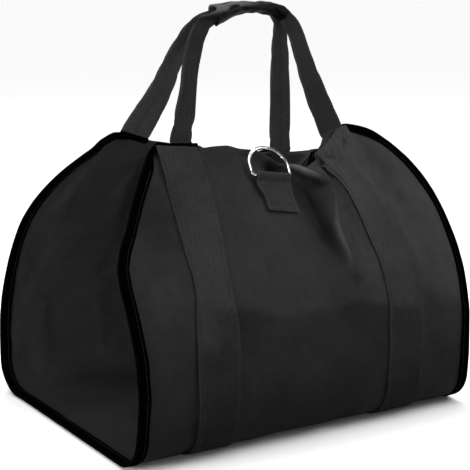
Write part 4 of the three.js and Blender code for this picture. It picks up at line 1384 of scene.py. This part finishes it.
def make_camera():
    az = CAMERA["azimuth"]
    el = CAMERA["elevation"]
    way = Vector((math.sin(az) * math.cos(el), math.cos(az) * math.cos(el), -math.sin(el)))
    data = bpy.data.cameras.new("camera")
    data.sensor_width = CAMERA["sensor"]
    data.lens = CAMERA["focal_px"] * CAMERA["sensor"] / CAMERA["picture"]
    data.shift_x = (CAMERA["picture"] / 2 - CAMERA["centre_x"]) / CAMERA["picture"]
    data.shift_y = (CAMERA["centre_y"] - CAMERA["picture"] / 2) / CAMERA["picture"]
    data.dof.use_dof = False
    camera = bpy.data.objects.new("camera", data)
    camera.location = Vector((0, 0, CAMERA["target_z"])) - way * CAMERA["distance"]
    camera.rotation_mode = "QUATERNION"
    camera.rotation_quaternion = way.to_track_quat("-Z", "Y")
    bpy.context.scene.collection.objects.link(camera)
    bpy.context.scene.camera = camera


def make_floor():
    bpy.ops.object.select_all(action="DESELECT")
    bpy.ops.mesh.primitive_plane_add(size=FLOOR_SIZE, location=(0, 0, -FLOOR_DROP))
    floor = bpy.context.object
    floor.name = "floor"
    material, tree, shader = new_material("pale_floor")
    shader.inputs["Base Color"].default_value = (0.6, 0.6, 0.6, 1)
    shader.inputs["Roughness"].default_value = 0.9
    shader.inputs["Specular IOR Level"].default_value = 0.0
    floor.data.materials.append(material)


def make_light(name, kind, place, target, power, size):
    data = bpy.data.lights.new(name, kind)
    data.energy = power
    if kind == "AREA":
        data.shape = "RECTANGLE"
        data.size, data.size_y = size
    else:
        data.angle = size
    light = bpy.data.objects.new(name, data)
    light.location = place
    light.rotation_mode = "QUATERNION"
    light.rotation_quaternion = (Vector(target) - Vector(place)).to_track_quat("-Z", "Y")
    bpy.context.scene.collection.objects.link(light)


def make_light_and_air():
    world = bpy.data.worlds.new("studio")
    bpy.context.scene.world = world
    world.use_nodes = True
    sky = world.node_tree.nodes["Background"]
    sky.inputs["Color"].default_value = (1, 1, 1, 1)
    sky.inputs["Strength"].default_value = 0.25
    make_light("key_panel", "AREA", (0.8, -0.72, 0.95), (0.05, -0.1, 0.25), 13.0, (0.6, 0.6))
    make_light("sky_panel", "SUN", (0, 0.3, 3.0), (0, 0, 0.2), 4.0, math.radians(60))
    make_light("back_panel", "AREA", (0.35, 1.3, 1.75), (0, 0, 0.32), 22.0, (0.7, 0.5))
    make_light("left_panel", "SUN", (-1.5, -1.5, 0.45), (0, 0, 0.2), 1.2, math.radians(60))
    make_light("end_panel", "AREA", (-0.9, -0.15, 0.12), (-0.1, 0.12, 0.27), 14.0, (0.3, 0.3))
    bpy.context.scene.view_settings.view_transform = "Standard"


make_camera()
make_floor()
make_light_and_air()
panel = make_panel()
strap_left = make_strap("strap_left", -1)
strap_right = make_strap("strap_right", 1)
tape_left = make_tape("binding_left", -1, LEFT_TAPE_END)
tape_right = make_tape("binding_right", 1, RIGHT_TAPE_END)
handle_front = make_handle("front")
handle_back = make_handle("back")
make_wrap()
make_tab()
make_ring()
stitch_straps()
stitch_tab()
stitch_tapes()
stitch_hems()
